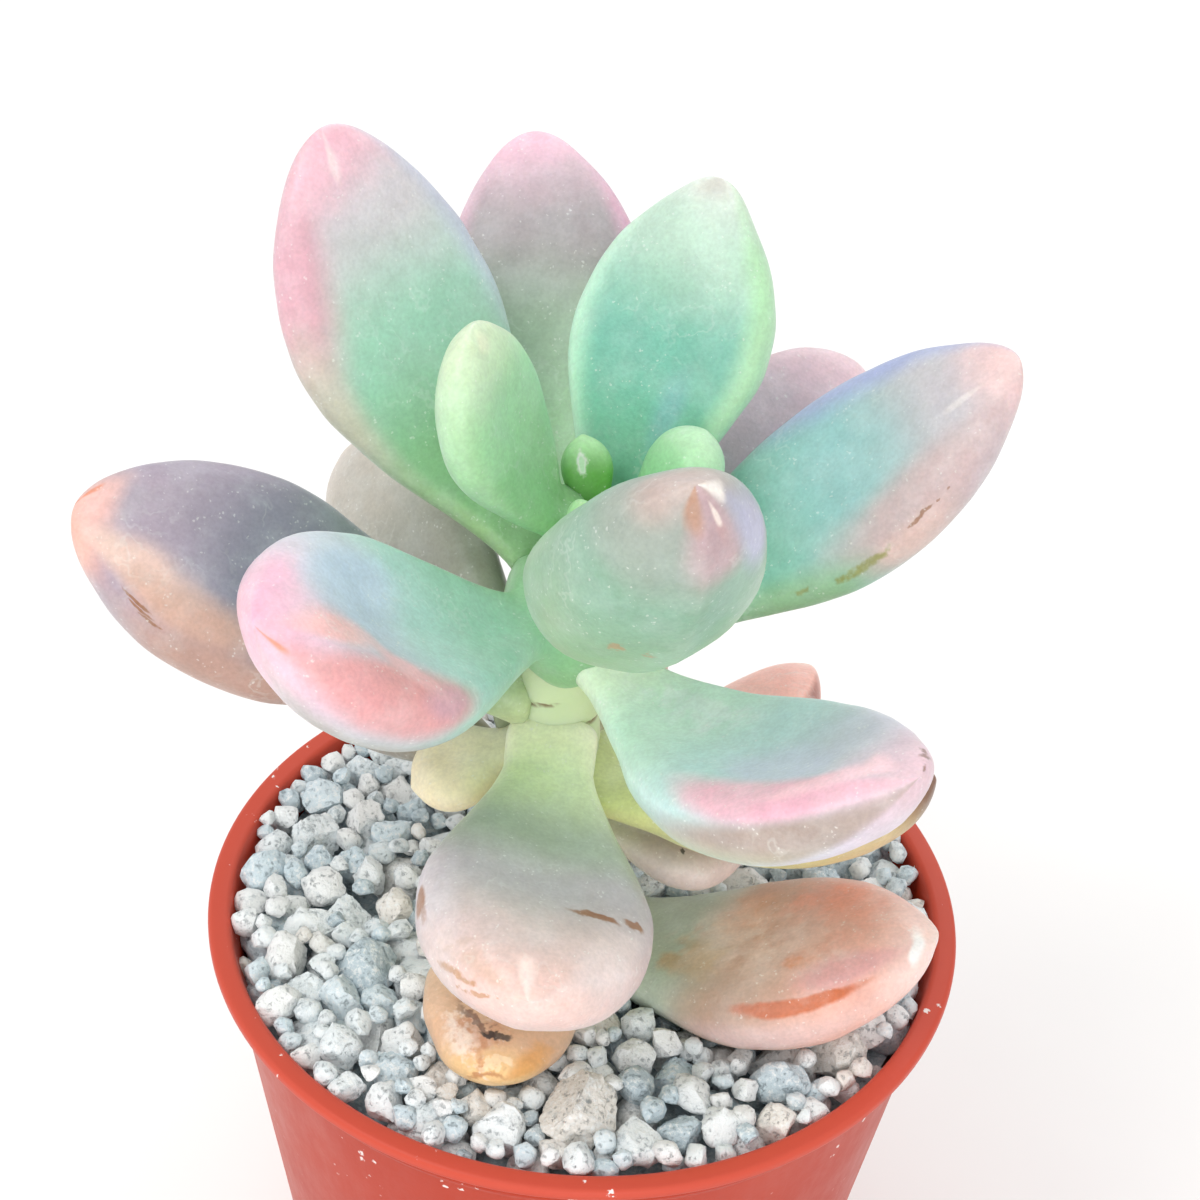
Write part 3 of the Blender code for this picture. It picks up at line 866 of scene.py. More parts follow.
@dataclass
class PumiceDressing:
    """Loose pumice over the bed: small grains that settle between the larger stones.

    Attributes:
        bed_top: Height of the solid bed under the grains.
        inner_radius: Radius of the pot's inside there.
        rim: Height of the pot's rim.
        stem: The stem that the grains keep clear of.
        obstacles: Low leaves that they keep clear of.
        finish: How the grains look.
        seed: Seed of the random draws.
        sizes: Radius in mm and number of the grains, largest first.
        tries: Places tried for each grain, of which it takes the lowest.
        above_rim: How far the grains may rise past the rim at the wall.
        mound: How much higher they may lie at the middle.
        batch: How many grains are shaped in one small mesh before it joins the whole.
        nesting: How closely two grains settle, as a share of their radii together.
        bulge: Share of a grain's radius that counts against the dressing's surface.
        size_step: How much lower the smaller grains stay, as a share of the difference in radius.
        sunk: Height of a grain's middle when it lies on the bed, as a share of its radius.
        grains: The grains laid so far.
        laid: The same as rows of x, y, z and radius.
    """

    bed_top: float
    inner_radius: float
    rim: float
    stem: StemLine
    obstacles: Sequence[bpy.types.Object]
    finish: PumiceFinish = PumiceFinish()
    seed: int = 7
    sizes: tuple[tuple[float, int], ...] = ((2.7, 80), (2.2, 170), (1.7, 300), (1.2, 420), (0.85, 520))
    tries: int = 12
    above_rim: float = 0.9 * MM
    mound: float = 0.7 * MM
    batch: int = 24
    nesting: float = 0.84
    bulge: float = 0.8
    size_step: float = 0.12
    sunk: float = 0.3
    grains: list[Grain] = field(default_factory=list)
    laid: np.ndarray = field(default_factory=lambda: np.zeros((MOST_GRAINS, 4)))

    def lay(self, grain: Grain) -> None:
        """Note where a grain lies."""
        self.laid[len(self.grains)] = (*grain.centre, grain.radius)
        self.grains.append(grain)

    def lay_stones(self, material: bpy.types.Material) -> None:
        """Build a finer stone over each of the larger solid ones."""
        for node in sorted(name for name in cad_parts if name.startswith("pumice_stone")):
            low, high = (Vector(corner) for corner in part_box(node))
            centre, half = (low + high) / 2, (high - low) / 2
            self.lay(Grain(centre, (half.x + half.y) / 2))
            shape = self.blank()
            chance = random.Random(node)
            self.tint(shape, chance, self.add_grain(shape, centre, half, chance, 5))
            rock = piece_from(shape, node + "_rock", material, [node])
            rock.data.set_sharp_from_angle(angle=math.radians(50))

    @staticmethod
    def add_grain(shape: bmesh.types.BMesh, centre: Vector, half: Vector, chance: random.Random,
                  detail: int) -> list[bmesh.types.BMVert]:
        """Add one angular, pitted grain to a mesh.

        Args:
            shape: The mesh.
            centre: The grain's middle.
            half: Half its size each way.
            chance: Its own source of random numbers.
            detail: Subdivisions of the ball it starts as.

        Returns:
            The grain's vertices.
        """
        made = bmesh.ops.create_icosphere(shape, subdivisions=detail, radius=1.0)["verts"]
        offset = Vector([chance.uniform(-50, 50) for _ in range(3)])
        facets = [(Vector([chance.gauss(0, 1) for _ in range(3)]).normalized(), chance.uniform(0.55, 0.88))
                  for _ in range(8)]
        rough = 0.55 if detail > 3 else 1.0
        for vert in made:
            spot = vert.co.normalized()
            point = spot * (1.0 + 0.20 * noise.noise(spot * 1.3 + offset))
            for way, depth in facets:
                over = point.dot(way) - depth
                if over > 0:
                    point = point - way * (over * 0.92)
            point = point * (1.0 + 0.15 * rough * noise.noise(spot * 3.1 + offset))
            if detail > 2:
                point = point * (1.0 + 0.10 * rough * noise.noise(spot * 6.0 - offset))
            if detail > 3:
                point = point * (1.0 + 0.06 * noise.noise(spot * 13.0 + offset))
            vert.co = point
        reach = [max(abs(vert.co[k]) for vert in made) for k in range(3)]
        for vert in made:
            vert.co = centre + Vector([vert.co[k] / reach[k] * half[k] for k in range(3)])
        return made

    @staticmethod
    def blank() -> bmesh.types.BMesh:
        """Start a mesh that can hold each grain's tint and warmth."""
        shape = bmesh.new()
        for name in ("grain_tint", "grain_warmth"):
            shape.verts.layers.float.new(name)
        return shape

    @staticmethod
    def tint(shape: bmesh.types.BMesh, chance: random.Random, verts: Sequence[bmesh.types.BMVert]) -> None:
        """Store one tint and one warmth for a grain's vertices."""
        for name in ("grain_tint", "grain_warmth"):
            layer = shape.verts.layers.float[name]
            value = chance.random()
            for vert in verts:
                vert[layer] = value

    def settle(self) -> None:
        """Drop grains of each size in turn into the lowest free place of a few."""
        chance = random.Random(self.seed)
        graph = bpy.context.evaluated_depsgraph_get()
        trees = [BVHTree.FromObject(item, graph) for item in self.obstacles]
        for size, count in self.sizes:
            for _ in range(count):
                radius = size * MM * chance.uniform(0.86, 1.14)
                spots = [self.drop(chance, radius) for _ in range(self.tries)]
                for spot in sorted(spots, key=lambda one: one.z):
                    if self.is_low(spot, radius) and self.is_free(spot, radius, trees):
                        self.lay(Grain(spot, radius))
                        break

    def drop(self, chance: random.Random, radius: float) -> Vector:
        """Return where a grain comes to rest at a random place."""
        turn = chance.uniform(0.0, math.tau)
        reach = math.sqrt(chance.random()) * (self.inner_radius - radius * 0.95)
        x, y = reach * math.cos(turn), reach * math.sin(turn)
        return Vector((x, y, self.rest_height(x, y, radius)))

    def is_low(self, spot: Vector, radius: float) -> bool:
        """Tell whether a grain stays below the dressing's surface."""
        share = min(1.0, math.hypot(spot.x, spot.y) / self.inner_radius)
        surface = self.rim + self.above_rim + self.mound * (1.0 - share * share)
        return spot.z + radius * self.bulge < surface - self.size_step * (self.sizes[0][0] * MM - radius)

    def rest_height(self, x: float, y: float, radius: float) -> float:
        """Return the height of a ball's middle when it rests on the bed and the grains laid so far."""
        others = self.laid[:len(self.grains)]
        together = (others[:, 3] + radius) * self.nesting
        room = together ** 2 - (others[:, 0] - x) ** 2 - (others[:, 1] - y) ** 2
        near = room > 0
        height = self.bed_top + radius * self.sunk
        if near.any():
            height = max(height, float((others[near, 2] + np.sqrt(room[near])).max()))
        return height

    def is_free(self, spot: Vector, radius: float, trees: Sequence[BVHTree]) -> bool:
        """Tell whether a ball is clear of the stem and of the low leaves."""
        axis = self.stem.point(spot.z - self.rim)
        if math.hypot(spot.x - axis.x, spot.y - axis.y) < radius + self.stem.base_radius:
            return False
        for tree in trees:
            near, normal, _, distance = tree.find_nearest(spot)
            if distance < radius or (spot - near).dot(normal) < 0:
                return False
        return True

    def build(self) -> None:
        """Lay the stones, settle the grains and build those as one piece."""
        material = self.finish.material("pumice_rock")
        self.lay_stones(material)
        fixed = len(self.grains)
        self.settle()
        chance = random.Random(self.seed + 1)
        whole = self.blank()
        for start in range(fixed, len(self.grains), self.batch):
            shape = self.blank()
            for grain in self.grains[start:start + self.batch]:
                half = Vector([grain.radius * chance.uniform(0.9, 1.2) for _ in range(3)])
                half.z *= 0.9
                made = self.add_grain(shape, grain.centre, half, chance, 3 if grain.radius > 1.6 * MM else 2)
                turn = (Matrix.Rotation(chance.uniform(0, math.tau), 3, "Z")
                        @ Matrix.Rotation(chance.uniform(-0.5, 0.5), 3, "X"))
                bmesh.ops.rotate(shape, cent=grain.centre, matrix=turn, verts=made)
                self.tint(shape, chance, made)
            mesh = mesh_from(shape, "grain_batch")
            whole.from_mesh(mesh)
            bpy.data.meshes.remove(mesh)
        grains = piece_from(whole, "pumice_grains", material, ())
        grains.data.set_sharp_from_angle(angle=math.radians(42))
        LOG.info("%d loose grains", len(self.grains) - fixed)


# ----------------------------------------------------------------------------- the pot


@dataclass
class NurseryPot:
    """The round plastic pot: tapered wall, flat flanged lip and a base with drain holes."""

    height: float
    lip_radius: float
    foot_radius: float = 22.5 * MM
    lip_overhang: float = 1.3 * MM
    mouth_flare: float = 0.45 * MM
    wall: float = 1.0 * MM
    lip_thickness: float = 1.2 * MM
    floor: float = 1.4 * MM
    channel_depth: float = 1.5 * MM
    channel_inner: float = 9.0 * MM
    channel_outer: float = 19.0 * MM
    hole_radius: float = 2.4 * MM
    holes: int = 5
    rounding: float = 0.44 * MM
    flare_depth: float = 4.0 * MM
    bead: float = 0.35 * MM
    bead_depth: float = 1.6 * MM
    bead_end: float = 2.2 * MM
    foot_height: float = 3.0 * MM
    steps: int = 180
    finish: PlasticFinish = PlasticFinish()

    def outer(self, height: float) -> float:
        """Return the outer wall's radius at a height."""
        top = self.lip_radius - self.lip_overhang
        return self.foot_radius + (top - self.foot_radius) * height / self.height

    def inner(self, height: float) -> float:
        """Return the inner wall's radius at a height."""
        return self.outer(height) - self.wall

    def mouth(self) -> float:
        """Return the radius of the mouth, where the wall opens out into the lip."""
        return self.inner(self.height) + self.mouth_flare

    def profile(self) -> list[tuple[float, float]]:
        """Return the corners of the wall's section, from the inner floor round to the underside."""
        floor, rim = self.channel_depth + self.floor, self.height
        under, below = rim - self.lip_thickness, rim - self.flare_depth
        shoulder = under - self.bead_end
        return [
            (0.0, floor), (self.inner(floor), floor), (self.inner(below), below), (self.mouth(), rim),
            (self.lip_radius, rim), (self.lip_radius, under), (self.outer(under), under),
            (self.outer(under) + self.bead, under - self.bead_depth), (self.outer(shoulder), shoulder),
            (self.outer(self.foot_height), self.foot_height), (self.foot_radius, 0.0),
            (self.channel_outer, 0.0), (self.channel_outer, self.channel_depth),
            (self.channel_inner, self.channel_depth), (self.channel_inner, 0.0), (0.0, 0.0),
        ]

    def build(self) -> bpy.types.Object:
        """Spin the pot, round its edges and cut the drain holes."""
        shape = bmesh.new()
        corners = [shape.verts.new((radius, 0.0, height)) for radius, height in self.profile()]
        for first, second in zip(corners, corners[1:]):
            shape.edges.new((first, second))
        bmesh.ops.bevel(shape, geom=corners[1:-1], offset=self.rounding, offset_type="OFFSET", segments=4,
                        profile=0.5, affect="VERTICES", material=-1)
        bmesh.ops.spin(shape, geom=shape.verts[:] + shape.edges[:], cent=(0, 0, 0), axis=(0, 0, 1),
                       angle=math.tau, steps=self.steps, use_merge=True)
        bmesh.ops.remove_doubles(shape, verts=shape.verts, dist=0.002 * MM)
        pot = piece_from(shape, "pot_shell", self.finish.material("pot_shell"), ["pot"])
        self.drill(pot)
        pot.data.set_sharp_from_angle(angle=math.radians(50))
        return pot

    def drill(self, pot: bpy.types.Object) -> None:
        """Cut the drain holes through the channel."""
        shape = bmesh.new()
        ring = (self.channel_inner + self.channel_outer) / 2
        depth = self.channel_depth + self.floor
        for k in range(self.holes):
            turn = math.tau * (k + 0.5) / self.holes
            middle = Matrix.Translation((ring * math.cos(turn), ring * math.sin(turn), depth / 2))
            bmesh.ops.create_cone(shape, cap_ends=True, segments=40, radius1=self.hole_radius,
                                  radius2=self.hole_radius, depth=depth + 2 * MM, matrix=middle)
        tool = placed("drill", mesh_from(shape, "drill"))
        step = pot.modifiers.new("drain holes", "BOOLEAN")
        step.operation = "DIFFERENCE"
        step.object = tool
        graph = bpy.context.evaluated_depsgraph_get()
        cut = bpy.data.meshes.new_from_object(pot.evaluated_get(graph))
        welded = bmesh.new()
        welded.from_mesh(cut)
        bmesh.ops.remove_doubles(welded, verts=welded.verts, dist=0.001 * MM)
        welded.to_mesh(cut)
        welded.free()
        pot.modifiers.clear()
        pot.data = cut
        bpy.data.objects.remove(tool, do_unlink=True)


# ----------------------------------------------------------------------------- the studio


@dataclass
class Studio:
    """A pale table, plain soft light and the camera."""

    camera_place: Vector = field(default_factory=lambda: Vector((0.0, -0.16438, 0.21640)))
    forward: Vector = field(default_factory=lambda: Vector((-0.00180901, 0.79464911, -0.60706633)))
    up: Vector = field(default_factory=lambda: Vector((-0.06878171, 0.60553074, 0.79284399)))
    lens: float = 78.0
    sky: float = 0.87

    def build(self) -> None:
        """Set up the table, the light and the camera."""
        self.set_table()
        self.set_light()
        self.set_camera()
        view = bpy.context.scene.view_settings
        view.view_transform = "Standard"
        view.look = "None"
        view.exposure = 0.0

    def set_table(self) -> None:
        """Lay the table top."""
        shape = bmesh.new()
        bmesh.ops.create_grid(shape, x_segments=8, y_segments=8, size=1.6)
        mesh = mesh_from(shape, "table_top")
        mesh.materials.append(TableFinish().material("table_top"))
        table = placed("table_top", mesh)

    def set_light(self) -> None:
        """Hang the soft lights and the white surroundings."""
        world = bpy.data.worlds.new("white_room")
        bpy.context.scene.world = world
        world.use_nodes = True
        background = world.node_tree.nodes["Background"]
        background.inputs["Color"].default_value = (1.0, 1.0, 1.0, 1.0)
        background.inputs["Strength"].default_value = self.sky
        self.hang("key", (-0.26, -0.20, 0.52), 0.24, 0.95, (1.0, 0.985, 0.96))
        self.hang("front", (0.06, -0.52, 0.20), 0.34, 0.80, (1.0, 1.0, 1.0))
        self.hang("back", (0.12, 0.42, 0.40), 0.30, 0.50, (1.0, 1.0, 1.0))

    @staticmethod
    def hang(name: str, place: tuple[float, float, float], size: float, power: float,
             colour: Colour) -> None:
        """Hang one square soft light that faces the plant."""
        lamp = bpy.data.lights.new(name, "AREA")
        lamp.shape = "SQUARE"
        lamp.size = size
        lamp.energy = power
        lamp.color = colour
        item = placed(name, lamp)
        item.location = place
        item.rotation_euler = (Vector((0.0, 0.0, 0.07)) - Vector(place)).to_track_quat("-Z", "Y").to_euler()

    def set_camera(self) -> None:
        """Set the camera in front of and above the pot."""
        data = bpy.data.cameras.new("view")
        data.lens = self.lens
        data.sensor_width = 36.0
        data.clip_start = 0.01
        data.dof.use_dof = False
        camera = placed("view", data)
        right = self.forward.cross(self.up).normalized()
        turn = Matrix((right, self.up, -self.forward)).transposed()
        camera.matrix_world = Matrix.Translation(self.camera_place) @ turn.to_4x4()
        bpy.context.scene.camera = camera


# ----------------------------------------------------------------------------- the plant's leaves

SCAR = tone(150, 100, 62)
TAN = tone(186, 140, 100)
OLIVE = tone(150, 150, 74)
ORANGE = tone(228, 140, 104)
BUD_SKIN = LeafFinish(((0.0, tone(120, 196, 110)), (1.0, tone(182, 232, 172))), bloom=0.08)
BUD_FLESH = Flesh(groove=0.1, nib=0.15, ripple=0.04, flare=0.1)


def mark(colour: Colour, at: tuple[float, float, float], reach: tuple[float, float, float],
         strength: float = 0.9, ragged: float = 0.02, slant: float = 0.0) -> Wash:
    """Return a small mark with a broken edge.

    Args:
        colour: Its colour.
        at: Its middle, as for a wash.
        reach: How far it reaches, as for a wash.
        strength: How much it covers.
        ragged: How broken its edge is.
        slant: How far it drifts to the side for each unit along.

    Returns:
        The mark as a wash.
    """
    return Wash(colour, at, reach, strength, 0.55, ragged, 620.0, slant)


def upper_leaves() -> list[FleshyLeaf]:
    """Return the three upper leaves at the back and the two at the right."""
    return [
        FleshyLeaf("leaf_top_left", Growth(32, 139.5, 34, 40, 41.6, 19, 6.6, 20, 18, 0.2, 0.5), LeafFinish(
            ((0.0, tone(140, 192, 124)), (0.3, tone(142, 194, 142)), (0.6, tone(170, 214, 192)),
             (0.86, tone(214, 208, 212)), (1.0, tone(240, 196, 208))),
            (Wash(tone(222, 176, 188), (0.8, -1.0, 0.3), (0.42, 0.75, 1.4), 0.95, 0.35),
             Wash(tone(200, 196, 178), (0.5, -1.0, 0.3), (0.26, 0.45, 1.4), 0.85),
             Wash(tone(176, 206, 150), (0.22, -1.0, 0.2), (0.2, 0.5, 1.4), 0.6),
             Wash(tone(200, 204, 222), (0.72, 1.0, 0.3), (0.4, 0.5, 1.4), 0.85),
             Wash(tone(240, 192, 206), (0.97, -0.4, 0.6), (0.14, 1.1, 1.2), 0.9),
             # Painted highlight: near-white streak on the ridge by the tip.
             Wash(tone(250, 230, 230), (0.955, -0.15, 0.98), (0.05, 0.12, 0.5), 0.7)), depth=0.95)),
        FleshyLeaf("leaf_top_middle", Growth(29.2, 97, 26, 27, 42, 18.4, 7.6, 8, 12, 0.18, 0.55), LeafFinish(
            ((0.0, tone(196, 226, 164)), (0.35, tone(192, 228, 190)), (0.58, tone(174, 196, 174)),
             (0.78, tone(172, 162, 166)), (1.0, tone(236, 196, 212))),
            # Partly the leaf's own paler side, partly painted light that offsets the shade that leaf_top_left
            # casts here.
            (Wash(tone(244, 255, 230), (0.35, -0.9, 0.3), (0.34, 0.62, 1.4), 0.95),
             Wash(tone(224, 176, 198), (0.78, 1.0, 0.2), (0.28, 0.42, 1.4), 0.85),
             Wash(tone(226, 190, 206), (0.82, -1.0, 0.2), (0.28, 0.42, 1.4), 0.75)), depth=1.0)),
        FleshyLeaf("leaf_top_right", Growth(34, 75, 39, 28, 32.6, 17, 7.8, -18, 0, 0.26, 1), LeafFinish(
            ((0.0, tone(120, 190, 146)), (0.3, tone(132, 198, 168)), (0.58, tone(134, 196, 178)),
             (0.85, tone(192, 220, 202)), (1.0, tone(228, 232, 224))),
            (Wash(tone(190, 232, 188), (0.6, 1.0, 0.3), (0.6, 0.42, 1.4), 0.95),
             Wash(tone(214, 252, 226), (0.5, -1.0, 0.3), (0.6, 0.56, 1.4), 0.9),
             Wash(tone(140, 190, 202), (0.42, 0.28, 1.0), (0.16, 0.25, 0.6), 0.5),
             Wash(tone(206, 204, 196), (0.985, 0.0, 0.9), (0.05, 0.8, 1.2), 0.7)), depth=0.95)),
        FleshyLeaf("leaf_right_behind", Growth(22, 48, 29, -4, 37.6, 17, 8, 2, -40, 0.2, 0.05), LeafFinish(
            ((0.0, tone(164, 190, 160)), (0.4, tone(192, 186, 190)), (0.75, tone(216, 196, 206)),
             (1.0, tone(236, 208, 216))), depth=1.0)),
        FleshyLeaf("leaf_right", Growth(27.5, 21, 29, 22, 41, 17.2, 7.4, -24, -18, 0.34, 0.5), LeafFinish(
            ((0.0, tone(120, 180, 134)), (0.3, tone(140, 200, 176)), (0.6, tone(156, 204, 204)),
             (0.84, tone(206, 200, 206)), (1.0, tone(240, 200, 200))),
            (Wash(tone(172, 182, 224), (0.72, -1.0, 0.4), (0.34, 0.76, 1.4), 0.95, 0.35),
             Wash(tone(208, 182, 182), (0.73, 0.8, 0.5), (0.32, 0.6, 1.4), 0.95, 0.35),
             Wash(tone(158, 196, 150), (0.4, 1.0, 0.2), (0.24, 0.5, 1.4), 0.85),
             Wash(tone(228, 196, 186), (0.66, 1.0, 0.2), (0.16, 0.2, 1.4), 0.7),
             # Painted highlight: whitish streak along the top near the tip.
             Wash(tone(252, 244, 240), (0.89, 0.2, 1.0), (0.07, 0.08, 0.5), 0.6),
             Wash(tone(246, 214, 212), (0.975, 0.1, 0.6), (0.09, 1.0, 1.4), 0.85),
             Wash(OLIVE, (0.555, 0.95, 0.30), (0.065, 0.07, 0.2), 0.8, 0.25, 0.05, 700.0),
             Wash(OLIVE, (0.43, 0.92, 0.39), (0.03, 0.05, 0.15), 0.7, 0.2, 0.04, 800.0),
             mark(SCAR, (0.715, 0.91, 0.41), (0.042, 0.03, 0.10), 0.85, 0.035),
             mark(SCAR, (0.775, 0.93, 0.36), (0.012, 0.02, 0.06), 0.7, 0.03)), depth=0.88)),
    ]


def crown_leaves() -> list[FleshyLeaf]:
    """Return the leaf that points forward, and the inner leaves and buds round it."""
    return [
        FleshyLeaf("leaf_front", Growth(37.4, -86, 26, 36, 40.5, 16.2, 11.5, 16, -5, 0.35, 0.35), LeafFinish(
            ((0.0, tone(150, 190, 140)), (0.6, tone(152, 192, 152)), (0.84, tone(140, 178, 154)),
             (0.93, tone(164, 174, 164)), (1.0, tone(200, 178, 172))),
            (Wash(tone(200, 166, 172), (0.955, -0.30, -0.95), (0.10, 0.80, 0.8), 0.9, 0.35),
             Wash(tone(194, 192, 220), (0.90, -0.93, -0.45), (0.13, 0.5, 0.9), 0.9, 0.3),
             Wash(tone(192, 142, 112), (0.980, 0.22, -0.97), (0.036, 0.42, 0.6), 0.9, 0.3),
             Wash(tone(202, 160, 160), (0.952, -0.42, -0.9), (0.030, 0.16, 0.35), 0.6, 0.3),
             # Painted highlights: a near-white patch at the tip and a short streak running down from it.
             Wash(tone(255, 246, 238), (0.993, -0.85, -0.2), (0.018, 0.4, 0.8), 0.95, 0.3),
             Wash(tone(255, 240, 230), (0.974, -0.42, -0.90), (0.020, 0.11, 0.3), 0.85, 0.3),
             mark(TAN, (0.702, 0.47, -0.88), (0.014, 0.09, 0.12), 0.6, 0.03),
             mark(TAN, (0.700, 0.20, -0.98), (0.008, 0.07, 0.12), 0.5, 0.03)), depth=0.9),
            Flesh(groove=0.2, keel=0.14, nib=0.5)),
        FleshyLeaf(
            "leaf_inner_left", Growth(39.5, 185, 45, 40, 20.5, 12.8, 5.4, 8, 28, 0.42, 0.45), LeafFinish(
            ((0.0, tone(134, 194, 124)), (0.35, tone(154, 212, 154)), (0.65, tone(182, 230, 184)),
             (1.0, tone(220, 240, 204))),
            (Wash(tone(196, 232, 188), (0.6, -1.0, 0.2), (0.5, 0.35, 1.4), 0.6),
             Wash(tone(240, 246, 214), (0.965, -0.1, 0.9), (0.05, 0.4, 1.0), 0.7)), bloom=0.1),
            Flesh(flare=0.9)),
        FleshyLeaf("leaf_bud", Growth(39, 112, 55, 6, 6.4, 4.1, 3.5, 2, 6, 0.6, 0.36), LeafFinish(
            ((0.0, tone(92, 168, 62)), (0.45, tone(112, 188, 84)), (1.0, tone(190, 240, 184))),
            (Wash(tone(250, 253, 250), (0.69, -0.26, 0.96), (0.20, 0.24, 0.7), 0.9, 0.5, 0.05, 1500.0),
             Wash(tone(206, 244, 206), (0.68, -0.25, 0.96), (0.14, 0.14, 0.5), 0.95, 0.55, 0.04, 1500.0)),
            bloom=0.06), Flesh(groove=0.1, nib=0.15, ripple=0.05)),
        FleshyLeaf("leaf_bud_front", Growth(40.3, -50, 62, 10, 4.8, 3.3, 2.6, 0, 0, 0.7, 0.5), BUD_SKIN,
                   BUD_FLESH),
        FleshyLeaf("leaf_bud_left", Growth(40.4, -122, 64, 8, 4, 2.6, 2.2, 0, 0, 0.7, 0.5), BUD_SKIN,
                   BUD_FLESH),
        FleshyLeaf("leaf_inner_right", Growth(39.4, 31, 35, 26, 9.3, 6.8, 5.2, 0, 2, 0.52, 0.15), LeafFinish(
            ((0.0, tone(140, 200, 140)), (0.5, tone(166, 222, 172)), (1.0, tone(200, 240, 200))), bloom=0.06),
            Flesh(groove=0.1, nib=0.1, ripple=0.08)),
    ]


